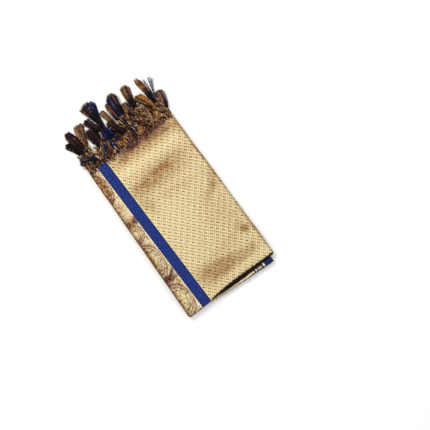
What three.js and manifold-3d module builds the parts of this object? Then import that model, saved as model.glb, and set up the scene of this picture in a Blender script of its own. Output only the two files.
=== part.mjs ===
// A folded shawl of gold brocade with a woven band, a patterned border and a tasselled fringe, lying flat.
// Millimetres, +Z up. +Y runs along the folded length to the fringe, +X across it, away from the border.
// The origin is on the flat underside, at the middle of the folded length.
import * as THREE from "three";
import Module from "manifold-3d";

const wasm = await Module();
wasm.setup();

// ---- Driving dimensions ----
const cutLength = 1830; // the whole shawl, without its fringe
const layersAlong = 4; // folded in half twice along its length
const foldedLength = cutLength / layersAlong;
const foldEndY = -foldedLength / 2;
const fringeEndY = foldedLength / 2;
const leftEdge = { atFoldEnd: -138, atFringe: -120 }; // the fold through the patterned border
const rightEdge = { atFoldEnd: 137, atFringe: 145 }; // the fold through the plain field
const outOfSquare = Math.tan(THREE.MathUtils.degToRad(1.2)); // the ends lie this far off square
const squareAboutX = -68; // the inner edge of the woven band

const clothWall = 1.4;
const seamGap = 0.3;
const foldRadius = 5.5; // the round of the top stretch, seen from above and from the side
const stackTop = 14.5; // the top of the cloth just inside its folds
const crown = 2.2; // the middle stands this much higher
const fringeDip = 2.2; // the cloth thins towards its cut end
const fringeDipLength = 30;

const underHeight = 4.2; // the layers that show below the top stretch, on the sides
const sideHem = underHeight + seamGap; // where the top stretch ends on its sides
const lowerTop = 8.2; // the top of the lower stretch at the fold end
const endHem = lowerTop + seamGap + 0.1; // where the top stretch ends at the fold end
const hemTuck = 1.5; // it curls in by this much there

// ---- The top stretch: what lifts and dents it, one row each ----
const puffs = [
  { x: 20, y: 163, halfX: 120, halfY: 20, rise: 1.7 },
  { x: 42, y: 129, halfX: 42, halfY: 13, rise: -2.2 },
  { x: -43, y: 58, halfX: 34, halfY: 24, rise: -0.9 },
  { x: 10, y: -60, halfX: 110, halfY: 45, rise: 0.8 },
  { x: 124, y: 25, halfX: 13, halfY: 34, rise: -1.1 },
  { x: 115, y: -132, halfX: 10, halfY: 13, rise: -1.2 },
  { x: -6, y: -170, halfX: 60, halfY: 20, rise: -1.7 },
  { x: 0, y: -213, halfX: 130, halfY: 9, rise: 0.8 },
  { x: -13, y: 214, halfX: 12, halfY: 20, rise: -1.3 },
  { x: 57, y: 218, halfX: 14, halfY: 18, rise: -1.2 },
  { x: 102, y: 214, halfX: 12, halfY: 20, rise: -1.2 },
];

// How the hidden layers step out past each other at their edges, from the lowest up.
const underLayers = [
  { top: 2.1, left: 0.3, right: -0.6, foldEnd: 1.2, bulge: 0.7 },
  { top: underHeight, left: -0.7, right: 0.5, foldEnd: 0.2, bulge: 0.8 },
];

const cutEndStep = 0.8; // the lowest layers end this much short of the others at the fringe

// The lower stretch: where its fold lies at the fold end, from left to right.
const lowerFoldLine = [
  { x: -74, past: -1.5 },
  { x: -40, past: 2 },
  { x: 10, past: 6.5 },
  { x: 70, past: 11.5 },
  { x: 110, past: 14.8 },
  { x: 126, past: 15.6 },
];
const lowerFold = { depth: 24, wall: 1.3, bottom: underHeight + seamGap };

// ---- The fringe, from left to right ----
// rootFrom and rootTo are where a tassel's gathers leave the cloth. A knot with its middle at knotZ 5 lies on the
// floor, and a higher one lies on its neighbours. spread is half the width of the brush at its tip.
const floorZ = 1.9; // the middle of a lock that rests on the floor
const tasselColumns = [
  "rootFrom", "rootTo", "gathers", "knotX", "knotY", "knotZ", "tipX", "tipY", "tipZ", "spread", "locks", "colour",
];
const tasselRows = [
  [-118, -107, 4, -106, 282, 5, -120, 329, floorZ, 9, 8, "blackBrown"],
  [-103, -93, 4, -94, 296, 5, -107, 350, floorZ, 8, 8, "blackBrown"],
  [-90, -80, 4, -80, 292, 5, -71, 349, floorZ, 12, 9, "amber"],
  [-76, -69, 3, -84, 246, 15, -124, 264, 11, 9, 8, "navy"],
  [-64, -54, 4, -50, 260, 5, -56, 323, floorZ, 11, 9, "blackBrown"],
  [-46, -39, 3, -33, 300, 5, -45, 346, floorZ, 7, 7, "blackBrown"],
  [-33, -23, 4, -18, 306, 5, -21, 383, floorZ, 20, 14, "black"],
  [-17, -9, 3, -17, 284, 14, -20, 306, 11.5, 9, 8, "blue"],
  [-4, 3, 3, 9, 290, 5, 2, 338, floorZ, 6, 6, "amber"],
  [8, 15, 3, 17, 262, 14, -4, 302, 12, 5, 6, "black"],
  [20, 27, 3, 24, 303, 5, 22, 349, floorZ, 4, 4, "tan"],
  [31, 42, 4, 39, 298, 5, 43, 362, floorZ, 13, 10, "navy"],
  [49, 61, 4, 62, 278, 5, 61, 323, floorZ, 8, 7, "tan"],
  [68, 80, 4, 78, 291, 5, 87, 356, floorZ, 11, 9, "purple"],
  [90, 111, 5, 112, 262, 5, 99, 312, floorZ, 8, 8, "amber"],
  [119, 127, 3, 130, 275, 5, 126, 352, floorZ, 6.5, 6, "amber"],
  [132, 135.5, 2, 141, 283, 5, 151, 328, floorZ, 11, 8, "blue"],
  [139.5, 143, 2, 147, 245, 5, 157, 288, floorZ, 8, 8, "purple"],
];
const tassels = tasselRows.map((row) => Object.fromEntries(row.map((value, i) => [tasselColumns[i], value])));

// A tassel's backing along its own length: along is measured from the middle of the knot.
const knotSections = [
  { along: -7, halfWidth: 2.6, halfHeight: 1.7 },
  { along: -4.5, halfWidth: 4.3, halfHeight: 3 },
  { along: 0, halfWidth: 5, halfHeight: 3.5 },
  { along: 3.8, halfWidth: 4, halfHeight: 2.9 },
  { along: 6, halfWidth: 3.4, halfHeight: 2.4 },
];
const brushNeck = { halfWidth: 3.5, share: 0.38, halfHeight: 1.9 }; // the part of a brush that is still one bunch
const gatherRadius = { atCloth: 1.25, middle: 1.5, atKnot: 1 };
const gatherSpacing = 1.9; // between the middles of two gathers in the back of the knot
const lockFill = 0.52; // a lock's radius for each millimetre between it and its neighbour
const lockTip = 0.55;

const looseFringe = { fromX: -112, toX: 134, bottom: 1.2, top: 3.6, width: 4, locks: 28, shortest: 11, longest: 20 };

// ---- Colours and finishes ----
const finishes = {
  goldBrocade: { color: 0xd9c08c, roughness: 0.55, metalness: 0.25 },
  hiddenLayers: { color: 0xb98f5c, roughness: 0.6, metalness: 0.2 },
  blackBrown: { color: 0x2a1a16, roughness: 0.7, metalness: 0 },
  black: { color: 0x1c171d, roughness: 0.7, metalness: 0 },
  navy: { color: 0x252450, roughness: 0.65, metalness: 0 },
  blue: { color: 0x1f2f86, roughness: 0.6, metalness: 0 },
  amber: { color: 0xa8743c, roughness: 0.55, metalness: 0.1 },
  tan: { color: 0x8f6f4f, roughness: 0.65, metalness: 0 },
  purple: { color: 0x5c3d42, roughness: 0.65, metalness: 0 },
};

const shawl = new THREE.Group();
const lerp = THREE.MathUtils.lerp;
const smoothstep = THREE.MathUtils.smoothstep;

function addNode(name, geometry, finish) {
  const mesh = new THREE.Mesh(geometry, new THREE.MeshStandardMaterial(finishes[finish]));
  mesh.name = name;
  shawl.add(mesh);
}

// A number from 0 to 1 that looks random and is the same on each run.
function scatter(seed) {
  const value = Math.sin(seed * 12.9898 + 4.1414) * 43758.5453;
  return value - Math.floor(value);
}

// ---- Outline and height of the cloth ----
function alongShare(y) {
  return (y - foldEndY) / foldedLength;
}

function leftAt(y) {
  return lerp(leftEdge.atFoldEnd, leftEdge.atFringe, alongShare(y));
}

function rightAt(y) {
  return lerp(rightEdge.atFoldEnd, rightEdge.atFringe, alongShare(y));
}

// Every point is sheared a little, so that the ends lie off square and the folds stay straight.
function skewed(x, y) {
  return y + outOfSquare * (x - squareAboutX);
}

function topHeight(x, y) {
  const across = (2 * (x - leftAt(y))) / (rightAt(y) - leftAt(y)) - 1;
  const along = 2 * alongShare(y) - 1;
  let height = stackTop + crown * (1 - across ** 4) * (1 - along ** 4);
  height -= fringeDip * smoothstep(y, fringeEndY - fringeDipLength, fringeEndY);
  const inside = Math.max(0, (1 - across ** 6) * (1 - Math.min(0, along) ** 10));
  for (const puff of puffs) {
    const reach = ((x - puff.x) / puff.halfX) ** 2 + ((y - puff.y) / puff.halfY) ** 2;
    height += puff.rise * Math.exp(-reach) * inside;
  }
  return height;
}

// ---- The wall of the top stretch ----
// A place across or along is a share of the flat middle, or an angle on the round at an edge: 90 at its outside.
const roundAngles = [90, 66, 42, 20];
const hemSteps = [0.5, 1];

function places(middleCount, roundAtEnd) {
  const list = roundAngles.map((angle) => ({ round: -Math.sin(THREE.MathUtils.degToRad(angle)), middle: 0 }));
  for (let i = 0; i <= middleCount; i++) list.push({ round: 0, middle: i / middleCount });
  if (roundAtEnd) {
    for (const angle of [...roundAngles].reverse()) {
      list.push({ round: Math.sin(THREE.MathUtils.degToRad(angle)), middle: 1 });
    }
  }
  return list;
}

// The point of the top stretch at a place, on a surface that lies inset inside its outer one. The two rounds meet in
// a ball at a corner: a square of places is spread over a quarter of a disc, and the height follows the ball.
function clothPoint(acrossPlace, alongPlace, inset) {
  const radius = foldRadius - inset;
  const roundX = acrossPlace.round * Math.sqrt(1 - alongPlace.round ** 2 / 2);
  const roundY = alongPlace.round * Math.sqrt(1 - acrossPlace.round ** 2 / 2);
  const flatY = lerp(foldEndY + foldRadius, fringeEndY, alongPlace.middle);
  const y = flatY + radius * roundY;
  const x = lerp(leftAt(y) + foldRadius, rightAt(y) - foldRadius, acrossPlace.middle) + radius * roundX;
  const upright = Math.sqrt((1 - acrossPlace.round ** 2) * (1 - alongPlace.round ** 2));
  const z = topHeight(x, y) - inset - radius * (1 - upright);
  return { x, y, z, roundX, roundY };
}

// A point of the hem below the round: share runs from 0 at the round to 1 at the free edge, curling in on the way.
function hemPoint(acrossPlace, alongPlace, inset, share) {
  const edge = clothPoint(acrossPlace, alongPlace, inset);
  const facingEnd = edge.roundY ** 2 / (edge.roundX ** 2 + edge.roundY ** 2);
  const length = Math.hypot(edge.roundX, edge.roundY);
  const tuck = hemTuck * share * share;
  return {
    x: edge.x - (tuck * edge.roundX) / length,
    y: edge.y - (tuck * edge.roundY) / length,
    z: lerp(edge.z, lerp(sideHem, endHem, smoothstep(facingEnd, 0, 1)), share),
  };
}

const acrossPlaces = places(18, true);
const alongPlaces = places(22, false);

// The grid of points of the top stretch, with its hems as extra columns and an extra row.
function clothGrid(inset, dropTo) {
  const hems = [...hemSteps].reverse();
  const rowOf = (alongPlace, share) => {
    const row = [];
    const point = (place, own) =>
      share || own ? hemPoint(place, alongPlace, inset, Math.max(share, own)) : clothPoint(place, alongPlace, inset);
    for (const own of hems) row.push(point(acrossPlaces[0], own));
    for (const place of acrossPlaces) row.push(point(place, 0));
    for (const own of hemSteps) row.push(point(acrossPlaces.at(-1), own));
    if (dropTo !== undefined) {
      row.unshift({ ...row[0], z: dropTo });
      row.push({ ...row.at(-1), z: dropTo });
    }
    return row;
  };
  const grid = hems.map((share) => rowOf(alongPlaces[0], share));
  for (const place of alongPlaces) grid.push(rowOf(place, 0));
  if (dropTo !== undefined) grid.unshift(grid[0].map((point) => ({ ...point, z: dropTo })));
  return grid;
}

// ---- Meshes ----
// Points that share a place become one vertex, and a face that has lost a corner to that is left out.
function geometryOf(faces) {
  const index = new Map();
  const positions = [];
  const triangles = [];
  const vertexOf = (p) => {
    const y = skewed(p.x, p.y);
    const key = [p.x, y, p.z].map((value) => value.toFixed(4)).join();
    if (!index.has(key)) {
      index.set(key, positions.length / 3);
      positions.push(p.x, y, p.z);
    }
    return index.get(key);
  };
  for (const face of faces) {
    const [a, b, c] = face.map(vertexOf);
    if (a !== b && b !== c && c !== a) triangles.push(a, b, c);
  }
  const geometry = new THREE.BufferGeometry();
  geometry.setAttribute("position", new THREE.BufferAttribute(new Float32Array(positions), 3));
  geometry.setIndex(triangles);
  if (signedVolume(geometry) < 0) geometry.setIndex(triangles.reverse());
  return geometry;
}

function signedVolume(geometry) {
  const at = geometry.attributes.position;
  const corners = [new THREE.Vector3(), new THREE.Vector3(), new THREE.Vector3()];
  let volume = 0;
  for (let i = 0; i < geometry.index.count; i += 3) {
    corners.forEach((corner, k) => corner.fromBufferAttribute(at, geometry.index.getX(i + k)));
    volume += corners[0].dot(corners[1].cross(corners[2])) / 6;
  }
  return volume;
}

// The faces of a grid of points: rows of equal length, joined into pairs of triangles.
function gridFaces(grid, flipped) {
  const faces = [];
  for (let i = 1; i < grid.length; i++) {
    for (let j = 1; j < grid[i].length; j++) {
      const [a, b, c, d] = [grid[i - 1][j - 1], grid[i - 1][j], grid[i][j], grid[i][j - 1]];
      faces.push(...(flipped ? [[a, c, b], [a, d, c]] : [[a, b, c], [a, c, d]]));
    }
  }
  return faces;
}

function rimOf(grid) {
  const last = grid.length - 1;
  const right = grid.map((row) => row.at(-1));
  const left = grid.map((row) => row[0]).reverse();
  return [...grid[0].slice(0, -1), ...right.slice(0, -1), ...[...grid[last]].reverse().slice(0, -1), ...left];
}

// A wall between an outer and an inner grid, closed all round by a strip from rim to rim.
function wallGeometry(outer, inner) {
  return geometryOf([
    ...gridFaces(outer, false),
    ...gridFaces(inner, true),
    ...gridFaces([rimOf(inner), rimOf(outer)], false),
  ]);
}

// A solid through closed rings of equal length, with a fan of faces on its first and its last ring.
function ringGeometry(rings) {
  const fan = (ring) => ring.slice(2).map((point, i) => [ring[0], ring[i + 1], point]);
  const firstCap = fan(rings[0]).map(([a, b, c]) => [a, c, b]);
  const sides = gridFaces(rings.map((ring) => [...ring, ring[0]]), false);
  return geometryOf([...firstCap, ...sides, ...fan(rings.at(-1))]);
}

function solidOf(geometry) {
  const mesh = new wasm.Mesh({
    numProp: 3,
    vertProperties: geometry.attributes.position.array,
    triVerts: new Uint32Array(geometry.index.array),
  });
  return new wasm.Manifold(mesh);
}

function geometryOfSolid(solid) {
  const mesh = solid.getMesh();
  const geometry = new THREE.BufferGeometry();
  geometry.setAttribute("position", new THREE.BufferAttribute(mesh.vertProperties, 3));
  geometry.setIndex(new THREE.BufferAttribute(mesh.triVerts, 1));
  return geometry;
}

// ---- The top stretch ----
function buildUpperFold() {
  addNode("upper_fold", wallGeometry(clothGrid(0), clothGrid(clothWall)), "goldBrocade");
}

// ---- The lower stretch ----
function lowerFoldPast(x) {
  const after = Math.max(1, lowerFoldLine.findIndex((station) => station.x >= x));
  const [from, to] = [lowerFoldLine[after - 1], lowerFoldLine[after]];
  return lerp(from.past, to.past, (x - from.x) / (to.x - from.x));
}

// One surface of the hairpin: in along its top, round its fold and back along its underside.
function hairpinGrid(inset) {
  const radius = (lowerTop - lowerFold.bottom) / 2;
  const middleZ = lowerFold.bottom + radius;
  const backY = foldEndY + lowerFold.depth;
  const turns = [90, 120, 150, 180, 210, 240, 270];
  const firstX = lowerFoldLine[0].x;
  const lastX = lowerFoldLine.at(-1).x;
  const stations = 12;
  const grid = [];
  for (let i = 0; i <= stations; i++) {
    const x = lerp(firstX, lastX, i / stations);
    const centreY = foldEndY - lowerFoldPast(x) + radius;
    const row = [{ x, y: backY, z: middleZ + radius - inset }];
    for (const turn of turns) {
      const angle = THREE.MathUtils.degToRad(turn);
      const reach = radius - inset;
      row.push({ x, y: centreY + reach * Math.cos(angle), z: middleZ + reach * Math.sin(angle) });
    }
    row.push({ x, y: backY, z: middleZ - radius + inset });
    grid.push(row);
  }
  return grid;
}

function buildLowerFold() {
  addNode("lower_fold", wallGeometry(hairpinGrid(0), hairpinGrid(lowerFold.wall)), "goldBrocade");
}

// ---- The hidden layers ----
// The outline of a layer in plan, anticlockwise from the fringe end of its left fold. out moves each edge outwards.
function layerOutline(layer, extra, z) {
  const cornerAngles = [0, 22.5, 45, 67.5, 90];
  const sidePoints = 6;
  const farY = foldEndY - layer.foldEnd - extra;
  const nearY = fringeEndY - cutEndStep;
  const left = (y) => leftAt(y) - layer.left - extra;
  const right = (y) => rightAt(y) + layer.right + extra;
  const ring = [];
  for (let i = 0; i < sidePoints; i++) {
    const y = lerp(nearY, farY + foldRadius, i / sidePoints);
    ring.push({ x: left(y), y, z });
  }
  for (const angle of cornerAngles) {
    const turn = THREE.MathUtils.degToRad(angle);
    const y = farY + foldRadius * (1 - Math.sin(turn));
    ring.push({ x: left(y) + foldRadius * (1 - Math.cos(turn)), y, z });
  }
  for (const angle of [...cornerAngles].reverse()) {
    const turn = THREE.MathUtils.degToRad(angle);
    const y = farY + foldRadius * (1 - Math.sin(turn));
    ring.push({ x: right(y) - foldRadius * (1 - Math.cos(turn)), y, z });
  }
  for (let i = sidePoints - 1; i >= 0; i--) {
    const y = lerp(nearY, farY + foldRadius, i / sidePoints);
    ring.push({ x: right(y), y, z });
  }
  return ring;
}

function blockGeometry(fromX, toX, fromY, toY, bottom, top) {
  const ringAt = (x) => [
    { x, y: fromY, z: bottom },
    { x, y: toY, z: bottom },
    { x, y: toY, z: top },
    { x, y: fromY, z: top },
  ];
  return ringGeometry([ringAt(fromX), ringAt(toX)]);
}

function buildInnerLayers() {
  const coreBottom = 1;
  const slotCut = 0.2; // the room for the lower stretch reaches this far into the layer that it lies on
  const core = solidOf(ringGeometry(clothGrid(clothWall + seamGap, coreBottom)));
  const rings = [];
  let bottom = 0;
  for (const layer of underLayers) {
    rings.push(layerOutline(layer, -layer.bulge, bottom));
    rings.push(layerOutline(layer, 0, lerp(bottom, layer.top, 0.5)));
    bottom = layer.top;
  }
  rings.push(layerOutline(underLayers.at(-1), -underLayers.at(-1).bulge, bottom));
  const under = solidOf(ringGeometry(rings));
  const firstX = lowerFoldLine[0].x - seamGap;
  const lastX = lowerFoldLine.at(-1).x + seamGap;
  const backY = foldEndY + lowerFold.depth + seamGap;
  const slot = blockGeometry(firstX, lastX, 2 * foldEndY, backY, underHeight - slotCut, lowerTop + seamGap);
  addNode("inner_layers", geometryOfSolid(core.add(under).subtract(solidOf(slot))), "hiddenLayers");
}

// ---- The fringe ----
// The height of the top stretch near an edge, its round included.
function clothTop(x, y) {
  const fromEdge = Math.min(x - leftAt(y), rightAt(y) - x);
  const round = Math.max(0, 1 - fromEdge / foldRadius);
  return topHeight(x, y) - foldRadius * (1 - Math.sqrt(1 - round * round));
}

// A thread bunch: a tube of few sides through a list of points, each with its own radius.
function lockSolid(path, sides) {
  const up = new THREE.Vector3(0, 0, 1);
  const points = path.map((p) => new THREE.Vector3(p.x, p.y, p.z));
  const rings = points.map((point, i) => {
    const before = points[Math.max(0, i - 1)];
    const after = points[Math.min(points.length - 1, i + 1)];
    const heading = path[i].heading || after.clone().sub(before).normalize();
    const sideways = heading.clone().cross(up).normalize();
    const upwards = sideways.clone().cross(heading);
    const ring = [];
    for (let k = 0; k < sides; k++) {
      const angle = (2 * Math.PI * k) / sides + Math.PI / 2;
      const corner = point.clone();
      corner.addScaledVector(sideways, path[i].radius * Math.cos(angle));
      corner.addScaledVector(upwards, path[i].radius * Math.sin(angle));
      ring.push({ x: corner.x, y: corner.y, z: corner.z });
    }
    return ring;
  });
  return solidOf(ringGeometry(rings));
}

// The knot and the neck of the brush: one body of oval sections along the tassel.
function knotSolid(tassel, frame) {
  const sides = 8;
  const neckAlong = frame.length * brushNeck.share;
  const neckWidth = lerp(brushNeck.halfWidth, tassel.spread, brushNeck.share);
  const sections = [...knotSections, { along: neckAlong, halfWidth: neckWidth, halfHeight: brushNeck.halfHeight }];
  const rings = sections.map((section) => {
    const share = Math.max(0, section.along / frame.length);
    const ring = [];
    for (let k = 0; k < sides; k++) {
      const angle = (2 * Math.PI * (k + 0.5)) / sides;
      const across = section.halfWidth * Math.cos(angle);
      ring.push({
        x: tassel.knotX + frame.alongX * section.along + frame.acrossX * across,
        y: tassel.knotY + frame.alongY * section.along + frame.acrossY * across,
        z: lerp(tassel.knotZ, tassel.tipZ, share) + section.halfHeight * Math.sin(angle),
      });
    }
    return ring;
  });
  return solidOf(ringGeometry(rings));
}

// A gathered bunch runs from the cut edge of the cloth into the back of the knot.
function gatherSolid(tassel, frame, i) {
  const share = tassel.gathers > 1 ? i / (tassel.gathers - 1) : 0.5;
  const x = lerp(tassel.rootFrom, tassel.rootTo, share);
  const startY = fringeEndY + seamGap;
  const startZ = clothTop(x, fringeEndY) - clothWall / 2;
  const endX = tassel.knotX - 2 * frame.alongX + gatherSpacing * (i - (tassel.gathers - 1) / 2);
  const endY = tassel.knotY - 2 * frame.alongY;
  const squareOut = new THREE.Vector3(0, 1, 0);
  const at = (along, sway, radius) => ({
    x: lerp(x, endX, along) + sway,
    y: lerp(startY, endY, along),
    z: lerp(startZ, tassel.knotZ, along * (2 - along)),
    radius,
  });
  const start = { ...at(0, 0, gatherRadius.atCloth), heading: squareOut };
  const middle = [0.35, 0.7].map((along) => at(along, 0.5 * Math.sin(i + along * 5), gatherRadius.middle));
  return lockSolid([start, ...middle, at(1, 0, gatherRadius.atKnot)], 3);
}

// A lock of the brush fans out from the neck and comes down to its tip. It is as wide as its share of the fan.
function brushSolid(tassel, frame, i, seed) {
  const share = (2 * (i + 0.5)) / tassel.locks - 1;
  const reach = lerp(1, 0.86, scatter(seed + i)) * frame.length;
  const at = (along, radius) => {
    const width = lerp(brushNeck.halfWidth, tassel.spread, along);
    return {
      x: tassel.knotX + frame.alongX * reach * along + frame.acrossX * width * share,
      y: tassel.knotY + frame.alongY * reach * along + frame.acrossY * width * share,
      z: lerp(tassel.knotZ, tassel.tipZ, smoothstep(along, 0, 1)),
      radius: radius || (lockFill * 2 * width) / tassel.locks,
    };
  };
  return lockSolid([at(brushNeck.share - 0.12), at(0.7), at(1, lockTip)], 3);
}

function buildTassel(tassel, number) {
  const reachX = tassel.tipX - tassel.knotX;
  const reachY = tassel.tipY - tassel.knotY;
  const length = Math.hypot(reachX, reachY);
  const [alongX, alongY] = [reachX / length, reachY / length];
  const frame = { length, alongX, alongY, acrossX: alongY, acrossY: -alongX };
  let solid = knotSolid(tassel, frame);
  for (let i = 0; i < tassel.gathers; i++) solid = solid.add(gatherSolid(tassel, frame, i));
  for (let i = 0; i < tassel.locks; i++) solid = solid.add(brushSolid(tassel, frame, i, number * 20));
  addNode("tassel_" + String(number).padStart(2, "0"), geometryOfSolid(solid), tassel.colour);
}

// The layers below have a fringe too: short locks from a narrow strip along their cut edge.
function buildUnderFringe() {
  const { fromX, toX, bottom, top, width, locks, shortest, longest } = looseFringe;
  const startY = fringeEndY + seamGap;
  let solid = solidOf(blockGeometry(fromX, toX, startY, startY + width, bottom, top));
  const middleZ = (bottom + top) / 2;
  for (let i = 0; i < locks; i++) {
    const x = lerp(fromX, toX, (i + 0.5) / locks);
    const length = lerp(shortest, longest, scatter(i + 500));
    const lean = lerp(-3, 3, scatter(i + 700));
    const start = { x, y: startY + width / 2, z: middleZ, radius: 1.1 };
    const middle = { x: x + lean / 3, y: startY + width + length / 2, z: middleZ - 0.2, radius: 1 };
    const tip = { x: x + lean, y: startY + width + length, z: floorZ, radius: lockTip };
    solid = solid.add(lockSolid([start, middle, tip], 3));
  }
  addNode("under_fringe", geometryOfSolid(solid), "tan");
}

buildUpperFold();
buildLowerFold();
buildInnerLayers();
tassels.forEach((tassel, i) => buildTassel(tassel, i + 1));
buildUnderFringe();

export default shawl;
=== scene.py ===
import math
from functools import partial

import bmesh
import bpy
import numpy as np
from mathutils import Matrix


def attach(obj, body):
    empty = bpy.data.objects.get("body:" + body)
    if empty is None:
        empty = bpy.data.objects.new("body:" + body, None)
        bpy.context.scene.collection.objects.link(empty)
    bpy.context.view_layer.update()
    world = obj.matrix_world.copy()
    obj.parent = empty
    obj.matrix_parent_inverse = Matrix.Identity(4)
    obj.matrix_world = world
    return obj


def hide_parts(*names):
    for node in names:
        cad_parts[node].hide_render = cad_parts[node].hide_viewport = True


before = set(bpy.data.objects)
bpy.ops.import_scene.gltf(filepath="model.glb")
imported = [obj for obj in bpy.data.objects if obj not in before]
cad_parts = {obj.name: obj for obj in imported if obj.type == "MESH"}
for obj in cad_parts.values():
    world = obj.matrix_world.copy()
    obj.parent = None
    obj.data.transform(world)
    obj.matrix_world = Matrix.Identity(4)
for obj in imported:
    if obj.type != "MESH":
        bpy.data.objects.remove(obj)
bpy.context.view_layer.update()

mm = 0.001
print("frame loaded:", len(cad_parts), "nodes")


def linear(hexColour):  # an sRGB hex colour as linear red, green, blue and alpha
    channels = [int(hexColour[i:i + 2], 16) / 255 for i in (1, 3, 5)]
    return tuple(c / 12.92 if c <= 0.04045 else ((c + 0.055) / 1.055) ** 2.4 for c in channels) + (1.0,)


def smooth(values, start, end):  # 0 before start and 1 after end, with no corner at either
    share = np.clip((values - start) / (end - start), 0, 1)
    return share * share * (3 - 2 * share)


def mix(first, second, share):
    return first + (second - first) * share


# Adds a node with its settings, fills or links its inputs, and returns its first output. The operation of a
# Math or VectorMath node follows its kind after a blank.
def addNode(tree, kind, inputs=(), stops=(), **settings):
    kind, _, operation = kind.partition(" ")
    node = tree.nodes.new("ShaderNode" + kind)
    if operation:
        node.operation = operation
    for name, value in settings.items():
        setattr(node, name, value)
    for i, (place, colour) in enumerate(stops):
        ramp = node.color_ramp.elements
        element = ramp[i] if i < 2 else ramp.new(place)
        element.position = place
        element.color = linear(colour)
    for key, value in (inputs.items() if isinstance(inputs, dict) else enumerate(inputs)):
        if isinstance(value, bpy.types.NodeSocket):
            tree.links.new(value, node.inputs[key])
        else:
            node.inputs[key].default_value = linear(value) if isinstance(value, str) else value
    return next((socket for socket in node.outputs if socket.enabled), None)


def startMaterial(name, plainColour):  # an empty material, with the call that adds nodes to it
    material = bpy.data.materials.new(name)
    material.use_nodes = True
    material.diffuse_color = linear(plainColour)
    material.node_tree.nodes.clear()
    return material, partial(addNode, material.node_tree)


# faces is a list of arrays, one for each number of corners. uvs and colours are given for each vertex.
def makeObject(name, vertices, faces, material, uvs=None, colours=None, smoothShading=True):
    mesh = bpy.data.meshes.new(name)
    points = np.asarray(vertices, dtype=np.float32).reshape(-1, 3)
    mesh.vertices.add(len(points))
    mesh.vertices.foreach_set("co", points.ravel())
    loops = np.concatenate([block.ravel() for block in faces]).astype(np.int32)
    widths = np.concatenate([np.full(len(block), block.shape[1]) for block in faces])
    mesh.loops.add(len(loops))
    mesh.loops.foreach_set("vertex_index", loops)
    mesh.polygons.add(len(widths))
    mesh.polygons.foreach_set("loop_start", (np.cumsum(widths) - widths).astype(np.int32))
    mesh.polygons.foreach_set("use_smooth", np.full(len(widths), smoothShading))
    mesh.update(calc_edges=True)
    for label, values in (uvs or {}).items():
        layer = mesh.uv_layers.new(name=label)
        layer.data.foreach_set("uv", np.asarray(values, dtype=np.float32).reshape(-1, 2)[loops].ravel())
    for label, values in (colours or {}).items():
        attribute = mesh.color_attributes.new(label, "FLOAT_COLOR", "POINT")
        attribute.data.foreach_set("color", np.asarray(values, dtype=np.float32).ravel())
    mesh.materials.append(material)
    obj = bpy.data.objects.new(name, mesh)
    bpy.context.scene.collection.objects.link(obj)
    return obj


def mergeDoubles(obj):  # corners of a grid that share a place become one, and flat faces go
    work = bmesh.new()
    work.from_mesh(obj.data)
    bmesh.ops.remove_doubles(work, verts=work.verts, dist=1e-6)
    work.to_mesh(obj.data)
    work.free()


def gridFaces(rows, columns, closed=False, flipped=False):  # quads between neighbouring points of a grid
    i = np.arange(rows - 1)[:, None]
    j = np.arange(columns if closed else columns - 1)[None, :]
    after = (j + 1) % columns
    corners = [i * columns + j, i * columns + after, (i + 1) * columns + after, (i + 1) * columns + j]
    return np.stack(corners[::-1] if flipped else corners, -1).reshape(-1, 4)


# The camera looks down from 12 degrees off the vertical, turned so that the shawl lies slantwise.
view = {
    "azimuth": -36.7, "elevation": 78.0,  # degrees
    "aim": (73.5, -55.2, 13.0),  # millimetres, what the middle of the frame shows
    "frameWidth": 1107.0,  # millimetres across the frame at the aim
    "distance": 9.0,  # metres, far off, so that the two ends look the same size
    "sensor": 36.0,
}


def addCamera():
    azimuth, elevation = math.radians(view["azimuth"]), math.radians(view["elevation"])
    level = math.cos(elevation)
    back = np.array([math.sin(azimuth) * level, -math.cos(azimuth) * level, math.sin(elevation)])
    camera = bpy.data.objects.new("camera", bpy.data.cameras.new("camera"))
    camera.location = np.array(view["aim"]) * mm + back * view["distance"]
    camera.rotation_euler = (math.pi / 2 - elevation, 0, azimuth)
    camera.data.sensor_width = view["sensor"]
    camera.data.lens = view["sensor"] * view["distance"] / (view["frameWidth"] * mm)
    bpy.context.scene.collection.objects.link(camera)
    bpy.context.scene.camera = camera


# towards is where each light stands, seen from the shawl; sizes and distances are metres, power is watts.
studio = {
    "lights": [
        {"name": "key_light", "towards": (-0.15, 0.75, 0.72), "power": 22, "size": 1.0, "distance": 2.2,
         "colour": "#fff8ec"},
        {"name": "fill_light", "towards": (0.5, -0.7, 0.8), "power": 6, "size": 2.0, "distance": 2.4,
         "colour": "#f3f6ff"},
    ],
    "skyColour": "#ffffff", "skyStrength": 0.78,
}


def addStudio():
    for light in studio["lights"]:
        data = bpy.data.lights.new(light["name"], "AREA")
        data.shape = "DISK"
        data.size = light["size"]
        data.energy = light["power"]
        data.color = linear(light["colour"])[:3]
        obj = bpy.data.objects.new(light["name"], data)
        way = np.array(light["towards"]) / np.linalg.norm(light["towards"])
        obj.location = way * light["distance"]
        obj.rotation_euler = (math.acos(way[2]), 0, math.atan2(way[0], -way[1]))
        bpy.context.scene.collection.objects.link(obj)
    world = bpy.data.worlds.new("studio")
    world.use_nodes = True
    world.node_tree.nodes.clear()
    add = partial(addNode, world.node_tree)
    add("OutputWorld", {"Surface": add("Background", (studio["skyColour"], studio["skyStrength"]))})
    bpy.context.scene.world = world
    bpy.context.scene.view_settings.view_transform = "Standard"  # keeps the dyes as deep as they are


floorSheet = {"halfSize": 3.0, "colour": "#fdfdfc", "toothScale": 400.0}


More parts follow.
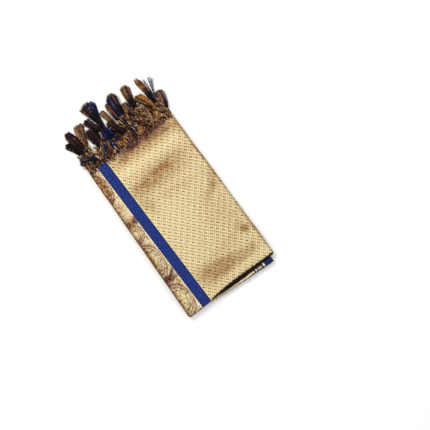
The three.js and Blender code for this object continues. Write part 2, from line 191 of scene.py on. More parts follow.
def addFloor():
    # Matt white background paper: a fine tooth, no gloss.
    material, add = startMaterial("matt_background_paper", floorSheet["colour"])
    place = add("TexCoord").node.outputs["Object"]
    tooth = add("TexNoise", {"Vector": place, "Scale": floorSheet["toothScale"], "Detail": 2.0})
    bump = add("Bump", {"Strength": 0.3, "Distance": 0.0002, "Height": tooth})
    colour = add("MixRGB", (tooth, floorSheet["colour"], "#ffffff"))
    paper = add("BsdfPrincipled", {"Base Color": colour, "Roughness": 0.9, "Specular IOR Level": 0.1,
                                   "Normal": bump})
    add("OutputMaterial", {"Surface": paper})
    half = floorSheet["halfSize"]
    corners = np.array([[-half, -half, 0], [half, -half, 0], [half, half, 0], [-half, half, 0]])
    makeObject("studio_floor", corners, [np.array([[0, 1, 2, 3]])], material, smoothShading=False)


addCamera()
addStudio()
addFloor()
print("camera, lights and floor set")


# The outline and the height of the folded cloth, as the solids have them. Everything below is in
# millimetres, and becomes metres when it goes into a mesh.
fold = {
    "foldEnd": -228.75, "fringeEnd": 228.75,
    "leftAtFold": -138.0, "leftAtFringe": -120.0,
    "rightAtFold": 137.0, "rightAtFringe": 145.0,
    "offSquare": math.tan(math.radians(1.2)), "squareAbout": -68.0,
    "radius": 5.5, "top": 14.5, "crown": 2.2,
    "fringeDip": 2.2, "fringeDipLength": 30.0,
    "sideHem": 4.5, "endHem": 8.6, "hemTuck": 1.5,
}

# x, y, half size across, half size along, rise
puffs = [
    (20, 163, 120, 20, 1.7), (42, 129, 42, 13, -2.2), (-43, 58, 34, 24, -0.9), (10, -60, 110, 45, 0.8),
    (124, 25, 13, 34, -1.1), (115, -132, 10, 13, -1.2), (-6, -170, 60, 20, -1.7), (0, -213, 130, 9, 0.8),
    (-13, 214, 12, 20, -1.3), (57, 218, 14, 18, -1.2), (102, 214, 12, 20, -1.2),
]

# The creases that only the cloth has: x, y, heading in degrees, half length, half width, depth
creases = [
    (36, 126, 10, 52, 6.0, -0.9), (-16, 143, -9, 36, 6.5, -0.5), (90, 150, 20, 26, 5.0, -0.5),
    (-34, 62, 62, 34, 6.5, -0.5), (112, -4, 40, 40, 6.0, -0.6), (60, 30, 74, 44, 7.0, -0.3),
    (-8, -172, 4, 56, 6.0, -0.8), (46, -152, -14, 32, 5.0, -0.4), (108, -130, 60, 20, 4.5, -0.7),
    (16, -96, 70, 40, 8.0, -0.3), (-52, -192, 20, 24, 5.0, -0.4), (92, -196, 12, 36, 5.5, -0.4),
    (-34, 208, 66, 15, 3.4, -0.8), (-14, 211, 92, 16, 3.0, -0.9), (12, 212, 82, 15, 3.2, -0.8),
    (34, 209, 100, 15, 3.4, -0.7), (56, 212, 84, 17, 3.2, -0.9), (78, 210, 96, 15, 3.0, -0.7),
    (102, 208, 76, 18, 3.4, -0.9), (124, 207, 98, 14, 3.0, -0.7), (-112, 52, 20, 18, 5.0, -0.5),
    (-118, -114, -8, 18, 5.0, -0.6), (-114, 120, 80, 46, 4.0, -0.35), (-122, -30, 86, 50, 4.0, -0.3),
]


def alongShare(y):
    return (y - fold["foldEnd"]) / (fold["fringeEnd"] - fold["foldEnd"])


def leftAt(y):
    return mix(fold["leftAtFold"], fold["leftAtFringe"], alongShare(y))


def rightAt(y):
    return mix(fold["rightAtFold"], fold["rightAtFringe"], alongShare(y))


def skewed(x, y):  # the ends lie a little off square, so y moves with x
    return y + fold["offSquare"] * (x - fold["squareAbout"])


def placed(x, y, z):  # points from their plain places
    return np.stack([x, skewed(x, y), z], -1)


def shares(x, y):  # where a place lies in the outline: from -1 to 1 across it, and along it
    return 2 * (x - leftAt(y)) / (rightAt(y) - leftAt(y)) - 1, 2 * alongShare(y) - 1


def insideShare(x, y):  # 1 in the middle, 0 at the folds
    across, along = shares(x, y)
    return np.maximum(0, (1 - across ** 6) * (1 - np.minimum(0, along) ** 10))


def broadHeight(x, y):  # a crown, less a dip at the fringe, plus one bell for each puff
    across, along = shares(x, y)
    height = fold["top"] + fold["crown"] * (1 - across ** 4) * (1 - along ** 4)
    dipFrom = fold["fringeEnd"] - fold["fringeDipLength"]
    height = height - fold["fringeDip"] * smooth(y, dipFrom, fold["fringeEnd"])
    inside = insideShare(x, y)
    for px, py, halfX, halfY, rise in puffs:
        height = height + rise * np.exp(-((x - px) / halfX) ** 2 - ((y - py) / halfY) ** 2) * inside
    return height


def fromPoint(x, y, px, py, heading):  # how far a place lies from a point, along a heading and across it
    turn = math.radians(heading)
    along = (x - px) * math.cos(turn) + (y - py) * math.sin(turn)
    return along, (y - py) * math.cos(turn) - (x - px) * math.sin(turn)


# A crease wanders to either side by a share of its half width. Its ridges stand off by so many half widths.
creaseForm = {"wander": 0.15, "wanderLength": 7, "ridge": 0.45, "ridgeAt": 1.9}


def creaseHeight(x, y):  # a soft trough along each heading, with a low ridge on either side of it
    height = 0
    for px, py, heading, halfLength, halfWidth, depth in creases:
        along, across = fromPoint(x, y, px, py, heading)
        across = across + creaseForm["wander"] * halfWidth * np.sin(along / creaseForm["wanderLength"])
        fromRidge = np.abs(across) - creaseForm["ridgeAt"] * halfWidth
        ripple = np.exp(-(across / halfWidth) ** 2)
        ripple = ripple - creaseForm["ridge"] * np.exp(-(fromRidge / halfWidth) ** 2)
        height = height + depth * ripple * np.exp(-(along / halfLength) ** 4)
    return height * insideShare(x, y)


# The cloth puckers towards its cut end: pleats that sway, with fine ones between them
gathering = {
    "from": 204.0, "depth": 0.55, "pleat": 7.5, "sway": 1.4, "swayLength": 11, "fine": 0.5,
    "fineLength": 1.9,
}


def topHeight(x, y):
    sway = gathering["sway"] * np.sin(x / gathering["swayLength"])
    pleats = np.sin(2 * math.pi * x / gathering["pleat"] + sway)
    pleats = pleats + gathering["fine"] * np.sin(x / gathering["fineLength"])
    pucker = gathering["depth"] * pleats * smooth(y, gathering["from"], fold["fringeEnd"])
    return broadHeight(x, y) + creaseHeight(x, y) + pucker * insideShare(x, y)


# Painted light and shade on the cloth where it dips or folds, each row a bell: x, y, half sizes, heading in
# degrees, amount.
turns = {
    # painted shade in the dips, near the fringe and along the side folds
    "shade": [
        (24, 121, 94, 23, 2, 0.78), (50, 130, 44, 8, 4, 0.2), (30, 96, 90, 16, 0, 0.35),
        (-50, 66, 18, 30, 20, 0.45), (126, 22, 14, 34, -30, 0.5), (100, 0, 32, 12, 35, 0.4),
        (114, -132, 12, 14, 30, 1.0), (104, -114, 16, 8, 40, 0.35), (2, -178, 60, 24, 0, 0.95),
        (-34, -152, 30, 12, -10, 0.4), (86, -186, 42, 16, 0, 0.6), (-21, 203, 20, 9, 10, 0.5),
        (64, 207, 22, 9, 0, 0.5), (100, 200, 22, 11, 0, 0.4), (40, 207, 122, 25, 0, 0.95),
        (132, 190, 10, 30, 0, 0.35), (-126, 100, 7, 60, 0, 0.3), (-129, -30, 6, 80, 0, 1.0),
        (-136, -170, 5, 70, 0, 0.9), (-112, 57, 18, 15, 0, 1.0), (-40, 112, 30, 16, 10, 0.35),
        (-8, -166, 54, 12, 0, 0.35), (-108, 108, 9, 14, 60, 0.5), (30, 60, 60, 14, -8, 0.25),
        (90, -60, 50, 60, 12, 0.2), (60, -134, 60, 14, 8, 0.25), (-108, -150, 16, 14, 20, 0.3),
        (-110, -20, 14, 12, -20, 0.4), (140, 60, 4, 170, 0, 0.9), (135, -150, 4, 80, 0, 0.8),
        (40, -227, 90, 7, 0, 0.6), (-124, 8, 14, 8, 0, 0.4),
    ],
    # painted shade in the pleats at the fringe and in the border's dips, tinted purple-brown like the warp
    "plum": [
        (6, 219, 24, 10, 0, 1.0), (-26, 224, 14, 9, 0, 0.7), (40, 224, 20, 9, 0, 0.95),
        (66, 220, 18, 10, 0, 0.9), (98, 220, 20, 10, 0, 0.8), (126, 225, 16, 7, 0, 0.7),
        (-50, 225, 14, 8, 0, 0.7), (-124, -114, 15, 5, 0, 1.0), (-105, -107, 13, 5, 42, 0.95),
        (-121, -123, 20, 8, 4, 0.75), (-102, 55, 8, 7, 0, 0.8), (-97, 63, 4, 6, 0, 0.5),
        (-118, 222, 10, 10, 0, 0.8), (-127, 62, 6, 14, 0, 0.3), (14, 215, 22, 8, 0, 0.45),
        (50, 208, 14, 6, -6, 0.6), (104, 201, 14, 6, 0, 0.55), (74, 205, 12, 6, 8, 0.5),
        (-26, 207, 9, 8, 0, 0.5), (-58, 226, 5, 8, 10, 0.25), (-43, 222, 5, 8, 0, 0.2),
        (84, 224, 5, 9, 0, 0.6), (113, 221, 5, 9, -10, 0.55), (26, 222, 4, 12, 8, 0.5),
        (53, 221, 4, 11, -8, 0.5), (-122, 128, 12, 4, 24, 0.55), (112, -134, 5, 8, 30, 0.4),
        (-134, -60, 3, 60, 0, 0.45), (-120, 10, 8, 5, 30, 0.3),
    ],
    # painted highlights on the ridges and on the lip at the fold end
    "paintedHighlight": [
        (20, 166, 110, 10, -2, 0.4), (-40, 168, 30, 10, 0, 0.4), (70, -208, 70, 8, 0, 0.6),
        (-50, -218, 40, 6, 0, 0.6), (-10, 0, 50, 50, 10, 0.3), (-30, -90, 30, 40, 0, 0.3),
        (120, -200, 14, 20, 0, 0.5), (-112, -186, 13, 34, 0, 0.6), (-110, -62, 12, 34, 0, 0.6),
        (-107, 26, 10, 16, 0, 0.5), (112, 168, 24, 8, -10, 0.6), (-103, 130, 4, 60, 0, 0.5),
    ],
    # warm brown painted shade along the side folds, over the top medallion and in the dips
    "rust": [
        (-118, 176, 15, 46, 0, 1.0), (-131, -30, 8, 80, 0, 0.8), (-128, 96, 11, 54, 0, 0.95),
        (-137, -170, 7, 70, 0, 0.6), (142, 60, 3, 170, 0, 0.5), (137, -150, 3, 80, 0, 0.4),
        (24, 121, 70, 12, 2, 0.3), (14, 213, 24, 10, 0, 0.6), (60, 218, 30, 9, 0, 0.25),
        (-115, 56, 16, 9, 0, 0.7), (-116, -122, 24, 9, 4, 0.9),
    ],
}

# At the fold end the turned edge is painted nearly black as shadow. reach is x and how far up from the end
# the painted shadow goes, and jags are the height and length of the waves of its edge. Left of paleFrom it
# is a little paler. Each side fold has a thin line of painted shade: its distances from the side where it
# starts and is full, and its strength.
foldShadow = {
    "reach": [(-140, 0.2), (-68, 0.7), (-62, 2.8), (-50, 4.2), (-30, 5.6), (-10, 6.6), (12, 6.8), (60, 5.4),
              (100, 4.0), (140, 3.6)],
    "jags": ((0.5, 2.3), (0.6, 0.9)), "softness": 0.9, "paleFrom": -68, "paleTo": -60, "paleShare": 0.75,
    "leftLine": (2.0, 0.6, 0.65), "rightLine": (1.8, 0.6, 0.4), "lineShare": 0.7, "lineLength": 5.3,
}


# Two colour attributes of painted light and shade: painted shade, plum-tinted painted shade and painted
# highlight in the first, the painted shadow at the edges and the warm brown painted shade in the second.
# Each row is a bell.
def turnAmounts(x, y):
    channels = []
    for rows in turns.values():
        amount = 0 * x
        for px, py, halfX, halfY, heading, strength in rows:
            along, across = fromPoint(x, y, px, py, heading)
            bell = strength * np.exp(-((along / halfX) ** 2 + (across / halfY) ** 2) ** 1.4)
            amount = amount + bell * (1 - 0.5 * amount)
        channels.append(np.clip(amount, 0, 1))
    edgeX, edgeReach = np.array(foldShadow["reach"], dtype=float).T
    jagged = sum(height * np.sin(x / length) for height, length in foldShadow["jags"])
    pastBlack = y - fold["foldEnd"] - np.interp(x, edgeX, edgeReach) + jagged
    paler = mix(foldShadow["paleShare"], 1, smooth(x, foldShadow["paleFrom"], foldShadow["paleTo"]))
    paintedShadow = smooth(pastBlack, foldShadow["softness"], -foldShadow["softness"]) * paler
    sides = ((x - leftAt(y), foldShadow["leftLine"]), (rightAt(y) - x, foldShadow["rightLine"]))
    sideLine = np.maximum(*[most * smooth(inwards, start, full) for inwards, (start, full, most) in sides])
    broken = mix(foldShadow["lineShare"], 1, 0.5 + 0.5 * np.sin(y / foldShadow["lineLength"]))
    paintedShadow = np.maximum(paintedShadow, sideLine * broken)
    shade, plum, paintedHighlight, rust = channels
    return np.stack([shade, plum, paintedHighlight, 1 + 0 * x], -1), np.stack([paintedShadow, rust, 0 * x, 1 + 0 * x], -1)


# The brocade: gold weft floats over a purple-brown warp, with a woven band and a border of oval medallions.
brocade = {
    "cream": "#e3ce9b", "gold": "#b8a26b", "grain": "#fff0cc", "dash": "#573f1e", "dot": "#5c4422",
    "line": "#a58c58", "rib": "#fbecc6",
    # Colours of painted light and shade, in order: a brown painted shade, a plum painted shade, a painted
    # highlight, a near-black painted shadow and a warm brown painted shade.
    "shade": "#c4a890", "plum": "#58353a", "paintedHighlight": "#f4e4ba", "paintedShadow": "#150807", "rust": "#b5835c",
    "seam": "#fff6dc", "band": "#13296f", "bandDark": "#060e3a", "bandLight": "#2342a0",
    "bandEdge": "#04071e",
    "ground": "#f8ecc6", "figure": "#55302f", "leaf": "#916538", "ringGround": "#d6ad80", "olive": "#c6b880",
    "pale": "#f0e8bc",
    "bandFrom": -29.6, "tooth": 5.6, "toothDepth": 2.2, "seamLine": 2.2,
    # Of the dashes, along a row and from row to row
    "steps": ((0.04998, -0.04097, 0), (-0.04752, -0.04302, 0)),
    "bandRibs": {"Y": 5.8, "X": 4.9},
    "threadPitch": 1.1,  # real threads are 0.25 mm apart, drawn this coarse so that they show
}

# The middle of each medallion along the border, and half its length. They lie about the left fold, so that
# only their right parts show on top, and all have the same half width.
medallions = {"middles": [-183, -58, 24, 170], "halfLengths": [49, 53, 27, 48], "u": -63.0,
              "halfWidth": 33.0}


def medallionPlace(u, v):  # where a point lies in the nearest medallion: its rim is at 1 from its middle
    middles = np.array(medallions["middles"], dtype=float)
    halves = np.array(medallions["halfLengths"], dtype=float)
    offsets = (v[..., None] - middles) / halves
    nearest = np.argmin(np.abs(offsets), axis=-1)
    along = np.take_along_axis(offsets, nearest[..., None], -1)[..., 0]
    return np.stack([(u - medallions["u"]) / medallions["halfWidth"], along], -1)


# The product of two soft steps. Each is a distance, where its step starts and ends, and the two values.
def softSteps(add, first, second):
    steps = [add("MapRange", step, interpolation_type="SMOOTHSTEP") for step in (first, second)]
    return add("Math MULTIPLY", steps)


def fromNearest(add, place, shift):  # how far a place, moved on by a shift, lies from the nearest whole step
    return add("Math PINGPONG", (add("Math ADD", (place, shift)), 0.5))


# a colour with a dye mixed in by amount times share
def tinted(add, amount, share, colour, dye, **settings):
    return add("MixRGB", (add("Math MULTIPLY", (amount, share)), colour, dye), **settings)


# a base moved by up to half the amount, by a noise at a place
def shaken(add, base, place, scale, detail, amount):
    noise = add("TexNoise", {"Vector": place, "Scale": scale, "Detail": detail}).node.outputs["Color"]
    centred = add("VectorMath SUBTRACT", (noise, (0.5, 0.5, 0.5)))
    return add("VectorMath MULTIPLY_ADD", (centred, (amount, amount, 0.0), base))


# The plain field: slanting dashes in rows, each with a smaller mark beside it on the row between, cream
# floats in the two slanting directions and a mottle of threads. A place is counted in shares of the two
# slanting steps.
def weaveField(add, place):
    moved = shaken(add, place, place, 0.014, 1.0, 7.0)
    alongRow, acrossRow = [add("VectorMath DOT_PRODUCT", (moved, step)) for step in brocade["steps"]]
    fromDash, fromRow = [add("Math PINGPONG", (way, 0.5)) for way in (alongRow, acrossRow)]
    dash = softSteps(add, (fromDash, 0.2, 0.3, 1.0, 0.0), (fromRow, 0.03, 0.085, 1.0, 0.0))
    markPlace = add("Math ADD", (alongRow, 0.2))
    fromMark = add("Math PINGPONG", (add("Math MULTIPLY", (markPlace, 2.0)), 0.5))
    markRow = fromNearest(add, acrossRow, -0.44)
    mark = softSteps(add, (fromMark, 0.14, 0.34, 1.0, 0.0), (markRow, 0.03, 0.09, 1.0, 0.0))
    markShare = add("MapRange", (add("Math PINGPONG", (markPlace, 0.5)), 0.0, 0.5, 1.0, 0.6))
    mark = add("Math MULTIPLY", (mark, markShare))
    rowFloats = softSteps(add, (fromRow, 0.18, 0.25, 0.0, 1.0), (fromRow, 0.26, 0.34, 1.0, 0.0))
    columnFloats = softSteps(add, (fromDash, 0.27, 0.33, 0.0, 1.0), (fromDash, 0.36, 0.42, 1.0, 0.0))
    floats = add("Math MAXIMUM", (rowFloats, columnFloats))
    # A cream grain on one side of each dash, between it and its mark
    grainPlace = fromNearest(add, alongRow, 0.08)
    grainRow = fromNearest(add, acrossRow, -0.23)
    grain = softSteps(add, (grainPlace, 0.12, 0.26, 1.0, 0.0), (grainRow, 0.05, 0.13, 1.0, 0.0))
    speckle = add("TexNoise", {"Vector": place, "Scale": 0.5, "Detail": 2.0, "Roughness": 0.6})
    colour = add("MixRGB", (add("MapRange", (speckle, 0.36, 0.64)), brocade["gold"], brocade["cream"]))
    column = add("MapRange", (fromDash, 0.43, 0.5, 0.0, 0.5), interpolation_type="SMOOTHSTEP")
    colour = add("MixRGB", (column, colour, brocade["line"]))
    # Every figure comes and goes a little with one broad noise: from, to, its share there and there
    uneven = add("TexNoise", {"Vector": place, "Scale": 0.1, "Detail": 2.0})
    for amount, steps, dye in ((floats, (0.35, 0.65, 0.5, 1.0), "rib"),
                               (grain, (0.35, 0.65, 0.2, 0.8), "grain"),
                               (mark, (0.0, 1.0, 1.0, 1.0), "dot"), (dash, (0.32, 0.6, 0.6, 1.0), "dash")):
        colour = tinted(add, amount, add("MapRange", (uneven, *steps)), colour, brocade[dye])
    height = add("Math SUBTRACT", (floats, add("Math MAXIMUM", (dash, mark))))
    return colour, height


def threadRibs(add, place, pitch):  # warp and weft as crossed rounded ribs, from 0 to 1
    apart = add("SeparateXYZ", (place,)).node.outputs
    turn = 2 * math.pi / pitch
    warp = add("Math SINE", (add("Math MULTIPLY", (apart["X"], turn)),))
    weft = add("Math SINE", (add("Math MULTIPLY", (apart["Y"], turn * 1.3)),))
    return add("Math MULTIPLY", (warp, weft))


def ringLine(add, radius, middle, halfWidth):  # 1 on a ring, 0 away from it
    away = add("Math ABSOLUTE", (add("Math SUBTRACT", (radius, middle)),))
    return add("MapRange", (away, 0.4 * halfWidth, halfWidth, 1.0, 0.0), interpolation_type="SMOOTHSTEP")


# Oval medallions: four rings, the innermost one scalloped, with a tan band between the outer ones, and an
# irregular mesh of cells inside. On the ground between them the cells are longer and slant the other way.
def borderFigures(add, place):
    at = shaken(add, add("UVMap", uv_map="medallions"), place, 0.05, 2.0, 0.14)
    radius = add("VectorMath LENGTH", (at,))
    parts = add("SeparateXYZ", (at,)).node.outputs
    angle = add("Math ARCTAN2", (parts["Y"], parts["X"]))
    lobes = add("Math COSINE", (add("Math MULTIPLY", (angle, 13.0)),))
    scalloped = add("Math MULTIPLY_ADD", (lobes, 0.045, radius))
    figure = ringLine(add, radius, 1.0, 0.042)
    for middle, halfWidth, distance in ((0.93, 0.02, radius), (0.79, 0.04, radius), (0.62, 0.04, scalloped)):
        figure = add("Math MAXIMUM", (figure, ringLine(add, distance, middle, halfWidth)))
    # Cells inside and outside the medallions: heading, squeeze, scale, and how their lines fade
    lines = []
    for heading, squeeze, scale, *fading in ((0.5, 0.6, 0.135, 0.03, 0.2, 0.95, 0.0),
                                             (-0.55, 0.42, 0.19, 0.02, 0.14, 1.0, 0.0)):
        turned = add("Mapping", {"Vector": place, "Rotation": (0.0, 0.0, heading),
                                 "Scale": (1.0, squeeze, 1.0)})
        cells = add("TexVoronoi", {"Vector": turned, "Scale": scale}, feature="DISTANCE_TO_EDGE")
        lines.append(add("MapRange", (cells, *fading)))
    coarse = add("TexNoise", {"Vector": place, "Scale": 0.13, "Detail": 3.0})
    fine = add("TexNoise", {"Vector": place, "Scale": 0.42, "Detail": 2.0})
    texture = add("MixRGB", (add("MapRange", (radius, 1.0, 1.05)), *lines))
    texture = add("Math MULTIPLY", (texture, add("MapRange", (coarse, 0.4, 0.55, 0.35, 1.0))))
    ground = add("MixRGB", (add("MapRange", (fine, 0.35, 0.65)), brocade["leaf"], brocade["ground"]))
    ground = add("MixRGB", (add("MapRange", (coarse, 0.35, 0.6, 0.3, 0.9)), ground, brocade["ground"]))
    inner = add("MixRGB", (add("MapRange", (fine, 0.3, 0.7)), brocade["olive"], brocade["pale"]))
    ground = add("MixRGB", (add("MapRange", (radius, 0.76, 0.8, 1.0, 0.0)), ground, inner))
    pastInner = add("MapRange", (radius, 0.77, 0.82, 0.0, 0.5))
    inOuter = add("MapRange", (radius, 0.98, 1.02, 1.0, 0.0))
    ground = tinted(add, pastInner, inOuter, ground, brocade["ringGround"])
    ground = add("MixRGB", (texture, ground, brocade["leaf"]))
    strength = add("MapRange", (coarse, 0.35, 0.6, 0.55, 1.0))
    relief = add("Math MULTIPLY", (add("Math MAXIMUM", (figure, texture)), -1.0))
    return tinted(add, figure, strength, ground, brocade["figure"]), relief


# A ribbed satin band: fine ribs both ways, a little uneven in depth of dye
def bandWeave(add, place, apart):
    ribs = [add("Math SINE", (add("Math MULTIPLY", (apart[way], 2 * math.pi / pitch)),))
            for way, pitch in brocade["bandRibs"].items()]
    mesh = add("Math ADD", ribs)
    dye = add("TexNoise", {"Vector": place, "Scale": 0.25, "Detail": 3.0})
    depth = add("Math MULTIPLY_ADD", (mesh, 0.16, add("MapRange", (dye, 0.3, 0.7))))
    dyes = [(0.0, brocade["bandDark"]), (1.0, brocade["bandLight"]), (0.45, brocade["band"])]
    return add("ValToRGB", (depth,), stops=dyes), mesh


# Painted light and shade: where the cloth dips and folds, painted shade in brown and plum, painted
# highlights on its ridges, a warm brown painted shade at its folds and a near-black painted shadow at its
# turned edges.
def turnColour(add, colour, place):
    shade, plum, paintedHighlight = add("SeparateColor", (add("Attribute", attribute_name="turn"),)).node.outputs
    paintedShadow, rust, _ = add("SeparateColor", (add("Attribute", attribute_name="edge"),)).node.outputs
    cloudy = add("TexNoise", {"Vector": place, "Scale": 0.045, "Detail": 3.0})
    blotchy = add("TexNoise", {"Vector": place, "Scale": 0.13, "Detail": 2.0})
    ragged = add("MapRange", (add("Math ADD", (cloudy, blotchy)), 0.75, 1.25, 0.55, 1.3))
    drawnOut = add("Mapping", {"Vector": place, "Scale": (1.0, 0.22, 1.0)})
    streaks = add("TexNoise", {"Vector": drawnOut, "Scale": 0.28, "Detail": 3.0})
    streaky = add("MapRange", (streaks, 0.32, 0.62, 0.6, 1.3))
    colour = tinted(add, shade, ragged, colour, brocade["shade"], blend_type="MULTIPLY", use_clamp=True)
    colour = tinted(add, paintedHighlight, 0.3, colour, brocade["paintedHighlight"])
    colour = tinted(add, plum, streaky, colour, brocade["plum"], use_clamp=True)
    colour = tinted(add, rust, ragged, colour, brocade["rust"], blend_type="MULTIPLY", use_clamp=True)
    # painted shadow: the turned fold end and the thin lines along the side folds go near black
    return add("MixRGB", (paintedShadow, colour, brocade["paintedShadow"]))


# Silk brocade with metal-wrapped weft: a soft broad sheen, a little brighter along the raised floats.
def finishCloth(add, place, colour, relief, metallic):
    threads = threadRibs(add, place, brocade["threadPitch"])
    height = add("Math MULTIPLY_ADD", (threads, 0.22, relief))
    bump = add("Bump", {"Strength": 0.6, "Distance": 0.0004, "Height": height})
    rough = add("MapRange", (relief, -1.0, 1.0, 0.62, 0.42))
    cloth = add("BsdfPrincipled", {
        "Base Color": colour, "Metallic": metallic, "Roughness": rough, "Normal": bump,
        "Sheen Weight": 0.04, "Sheen Roughness": 0.4, "Specular IOR Level": 0.15,
    })
    add("OutputMaterial", {"Surface": cloth})


def weavePlace(add):  # a place on the flat cloth in millimetres, whole and in its parts
    place = add("VectorMath SCALE", {0: add("UVMap", uv_map="weave"), "Scale": 1 / mm})
    return place, add("SeparateXYZ", (place,)).node.outputs


# The border, a cream seam, the band with its toothed left edge, a cream line and the field, from left to
# right. The band lies left of 0 and has a dark line along both of its edges.
def brocadeMaterial():
    material, add = startMaterial("woven_zari_brocade", brocade["gold"])
    place, apart = weavePlace(add)
    field, fieldRelief = weaveField(add, place)
    border, borderRelief = borderFigures(add, place)
    band, bandRelief = bandWeave(add, place, apart)
    toothPlace = add("Math MULTIPLY", (apart["Y"], 1 / brocade["tooth"]))
    teeth = add("Math PINGPONG", (toothPlace, 0.5))
    edge = add("Math MULTIPLY_ADD", (teeth, 2 * brocade["toothDepth"], brocade["bandFrom"]))
    pastEdge = add("Math SUBTRACT", (apart["X"], edge))
    inBand = add("MapRange", (pastEdge, -0.3, 0.3))
    pastBand = add("MapRange", (apart["X"], -0.3, 0.3))
    creamStrip = add("MapRange", (pastEdge, -brocade["seamLine"], -0.7 * brocade["seamLine"], 0.0, 0.8))
    creamLine = add("MapRange", (apart["X"], 1.6, 2.2, 0.4, 0.0))
    border = add("MixRGB", (creamStrip, border, brocade["seam"]))
    field = add("MixRGB", (creamLine, field, brocade["seam"]))
    colour = turnColour(add, add("MixRGB", (pastBand, border, field)), place)
    onBand = add("Math MULTIPLY", (inBand, add("Math SUBTRACT", (1.0, pastBand))))
    leftLine = add("MapRange", (pastEdge, 1.6, 3.4, 0.9, 0.0))
    rightLine = add("MapRange", (apart["X"], -3.2, -1.4, 0.0, 0.9))
    band = add("MixRGB", (add("Math MAXIMUM", (leftLine, rightLine)), band, brocade["bandEdge"]))
    colour = add("MixRGB", (onBand, colour, band))
    relief = add("MixRGB", (onBand, add("MixRGB", (pastBand, borderRelief, fieldRelief)), bandRelief))
    metallic = add("Math MULTIPLY_ADD", (onBand, -0.3, 0.3))
    finishCloth(add, place, colour, relief, metallic)
    return material


# The top stretch: a grid over the flat middle, a quarter round at its three folds, then a short hem that
# curls in. Its side folds wander a little, in waves with a share, a length and a phase.
topStretch = {
    "spacing": 2.0, "roundSteps": 8, "hemSteps": 3, "thickness": 0.9,
    "edgeWander": 0.45, "edgeWaves": ((1, 31, 0), (0.6, 13, 1.3)),
}


# For each place: the sine round the fold, the share of the middle, of the hem
def foldPlaces(length, roundAtEnd):
    angles = np.radians(np.linspace(90, 90 / topStretch["roundSteps"], topStretch["roundSteps"]))
    hems = np.linspace(1, 1 / topStretch["hemSteps"], topStretch["hemSteps"])
    flat = np.linspace(0, 1, int(length / topStretch["spacing"]))
    parts = [
        (-np.ones_like(hems), 0 * hems, hems),
        (-np.sin(angles), 0 * angles, 0 * angles),
        (0 * flat, flat, 0 * flat),
    ]
    if roundAtEnd:
        parts.append((np.sin(angles[::-1]), np.ones_like(angles), 0 * angles))
        parts.append((np.ones_like(hems), np.ones_like(hems), hems[::-1]))
    return [np.concatenate(column) for column in zip(*parts)]


# A square of places at a corner is spread over a quarter of a disc, and the height follows a ball. The hem
# goes on down from the round to its free edge. Gives the points, their UV and their plain x and y, in
# millimetres.
def clothSurface(acrossPlaces, alongPlaces):
    roundA, flatA, hemA = (column[None, :] for column in acrossPlaces)
    roundB, flatB, hemB = (column[:, None] for column in alongPlaces)
    radius = fold["radius"]
    roundX = roundA * np.sqrt(1 - roundB ** 2 / 2)
    roundY = roundB * np.sqrt(1 - roundA ** 2 / 2)
    y = mix(fold["foldEnd"] + radius, fold["fringeEnd"], flatB) + radius * roundY
    x = mix(leftAt(y) + radius, rightAt(y) - radius, flatA) + radius * roundX
    wander = sum(share * np.sin(y / length + phase) for share, length, phase in topStretch["edgeWaves"])
    x = x + topStretch["edgeWander"] * wander * roundA * np.abs(roundA)
    upright = np.sqrt((1 - roundA ** 2) * (1 - roundB ** 2))
    z = topHeight(x, y) - radius * (1 - upright)
    share = np.maximum(hemA, hemB)
    length = np.maximum(np.hypot(roundX, roundY), 1e-6)
    facingEnd = smooth(roundY ** 2 / length ** 2, 0, 1)
    z = mix(z, mix(fold["sideHem"], fold["endHem"], facingEnd), share)
    arcA = radius * (np.arcsin(np.abs(roundA)) + hemA)
    arcB = radius * (np.arcsin(np.abs(roundB)) + hemB)
    u = mix(leftAt(y) + radius, rightAt(y) - radius, flatA) + np.sign(roundA) * arcA - fold["squareAbout"]
    v = mix(fold["foldEnd"] + radius, fold["fringeEnd"], flatB) + np.sign(roundB) * arcB + 0 * x
    tuck = fold["hemTuck"] * share ** 2 / length
    points = np.stack([x - tuck * roundX, skewed(x, y - tuck * roundY), z], -1)
    return points, u, v, x, y


def thicken(obj, thickness):  # a sheet becomes a thin shell under its face
    wall = obj.modifiers.new("cloth", "SOLIDIFY")
    wall.thickness = thickness * mm
    wall.offset = -1


def addTopStretch(material):
    acrossPlaces = foldPlaces(fold["rightAtFold"] - fold["leftAtFold"], True)
    alongPlaces = foldPlaces(fold["fringeEnd"] - fold["foldEnd"], False)
    points, u, v, x, y = clothSurface(acrossPlaces, alongPlaces)
    # the painted light and shade of the cloth, as two colour attributes
    turn, edge = turnAmounts(x, y)
    obj = makeObject("top_stretch", points * mm, [gridFaces(*u.shape)], material,
                     uvs={"weave": np.stack([u, v], -1) * mm, "medallions": medallionPlace(u, v)},
                     colours={"turn": turn, "edge": edge})
    mergeDoubles(obj)
    thicken(obj, topStretch["thickness"])
    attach(obj, "root")
    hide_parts("upper_fold")
    return obj


# The lower stretch: a hairpin fold of the cloth's striped end, seen below the top stretch at the fold end.
lowerStretch = {
    # x, how far past the end
    "foldLine": [(-74, 0.5), (-40, 4.6), (10, 9.2), (60, 12.4), (110, 15.0), (125, 15.6)],
    "waves": ((0.35, 9), (0.2, 3.7)),  # height and length of the waves in the fold's line
    "depth": 24.0, "bottom": 4.5, "top": 8.2, "thickness": 0.8, "spacing": 2.0, "leafPoints": 18,
    "roundPoints": 13,
    "sag": 1.5, "sagShare": 0.25, "ripple": 0.25, "rippleLength": 14, "rippleTurn": 3.1,
    "dark": 2.5,  # the width of the painted shadow line along the fold, which is narrower at the left
    "darkLeast": 0.3, "darkFull": 80,
    # x, how wide a strip beside the fold is left lit: the rest is painted as shade of the lip above
    "lit": [(-74, 1.4), (-50, 2.2), (-40, 2.7), (12, 4.1), (60, 6.8), (92, 8.6), (97, 12.2), (126, 12.7)],
    "litSoftness": 0.8,
    "plain": "#c9ae76", "weft": "#b89c6c", "cloud": "#5a4028", "shadow": "#1e110c",
}

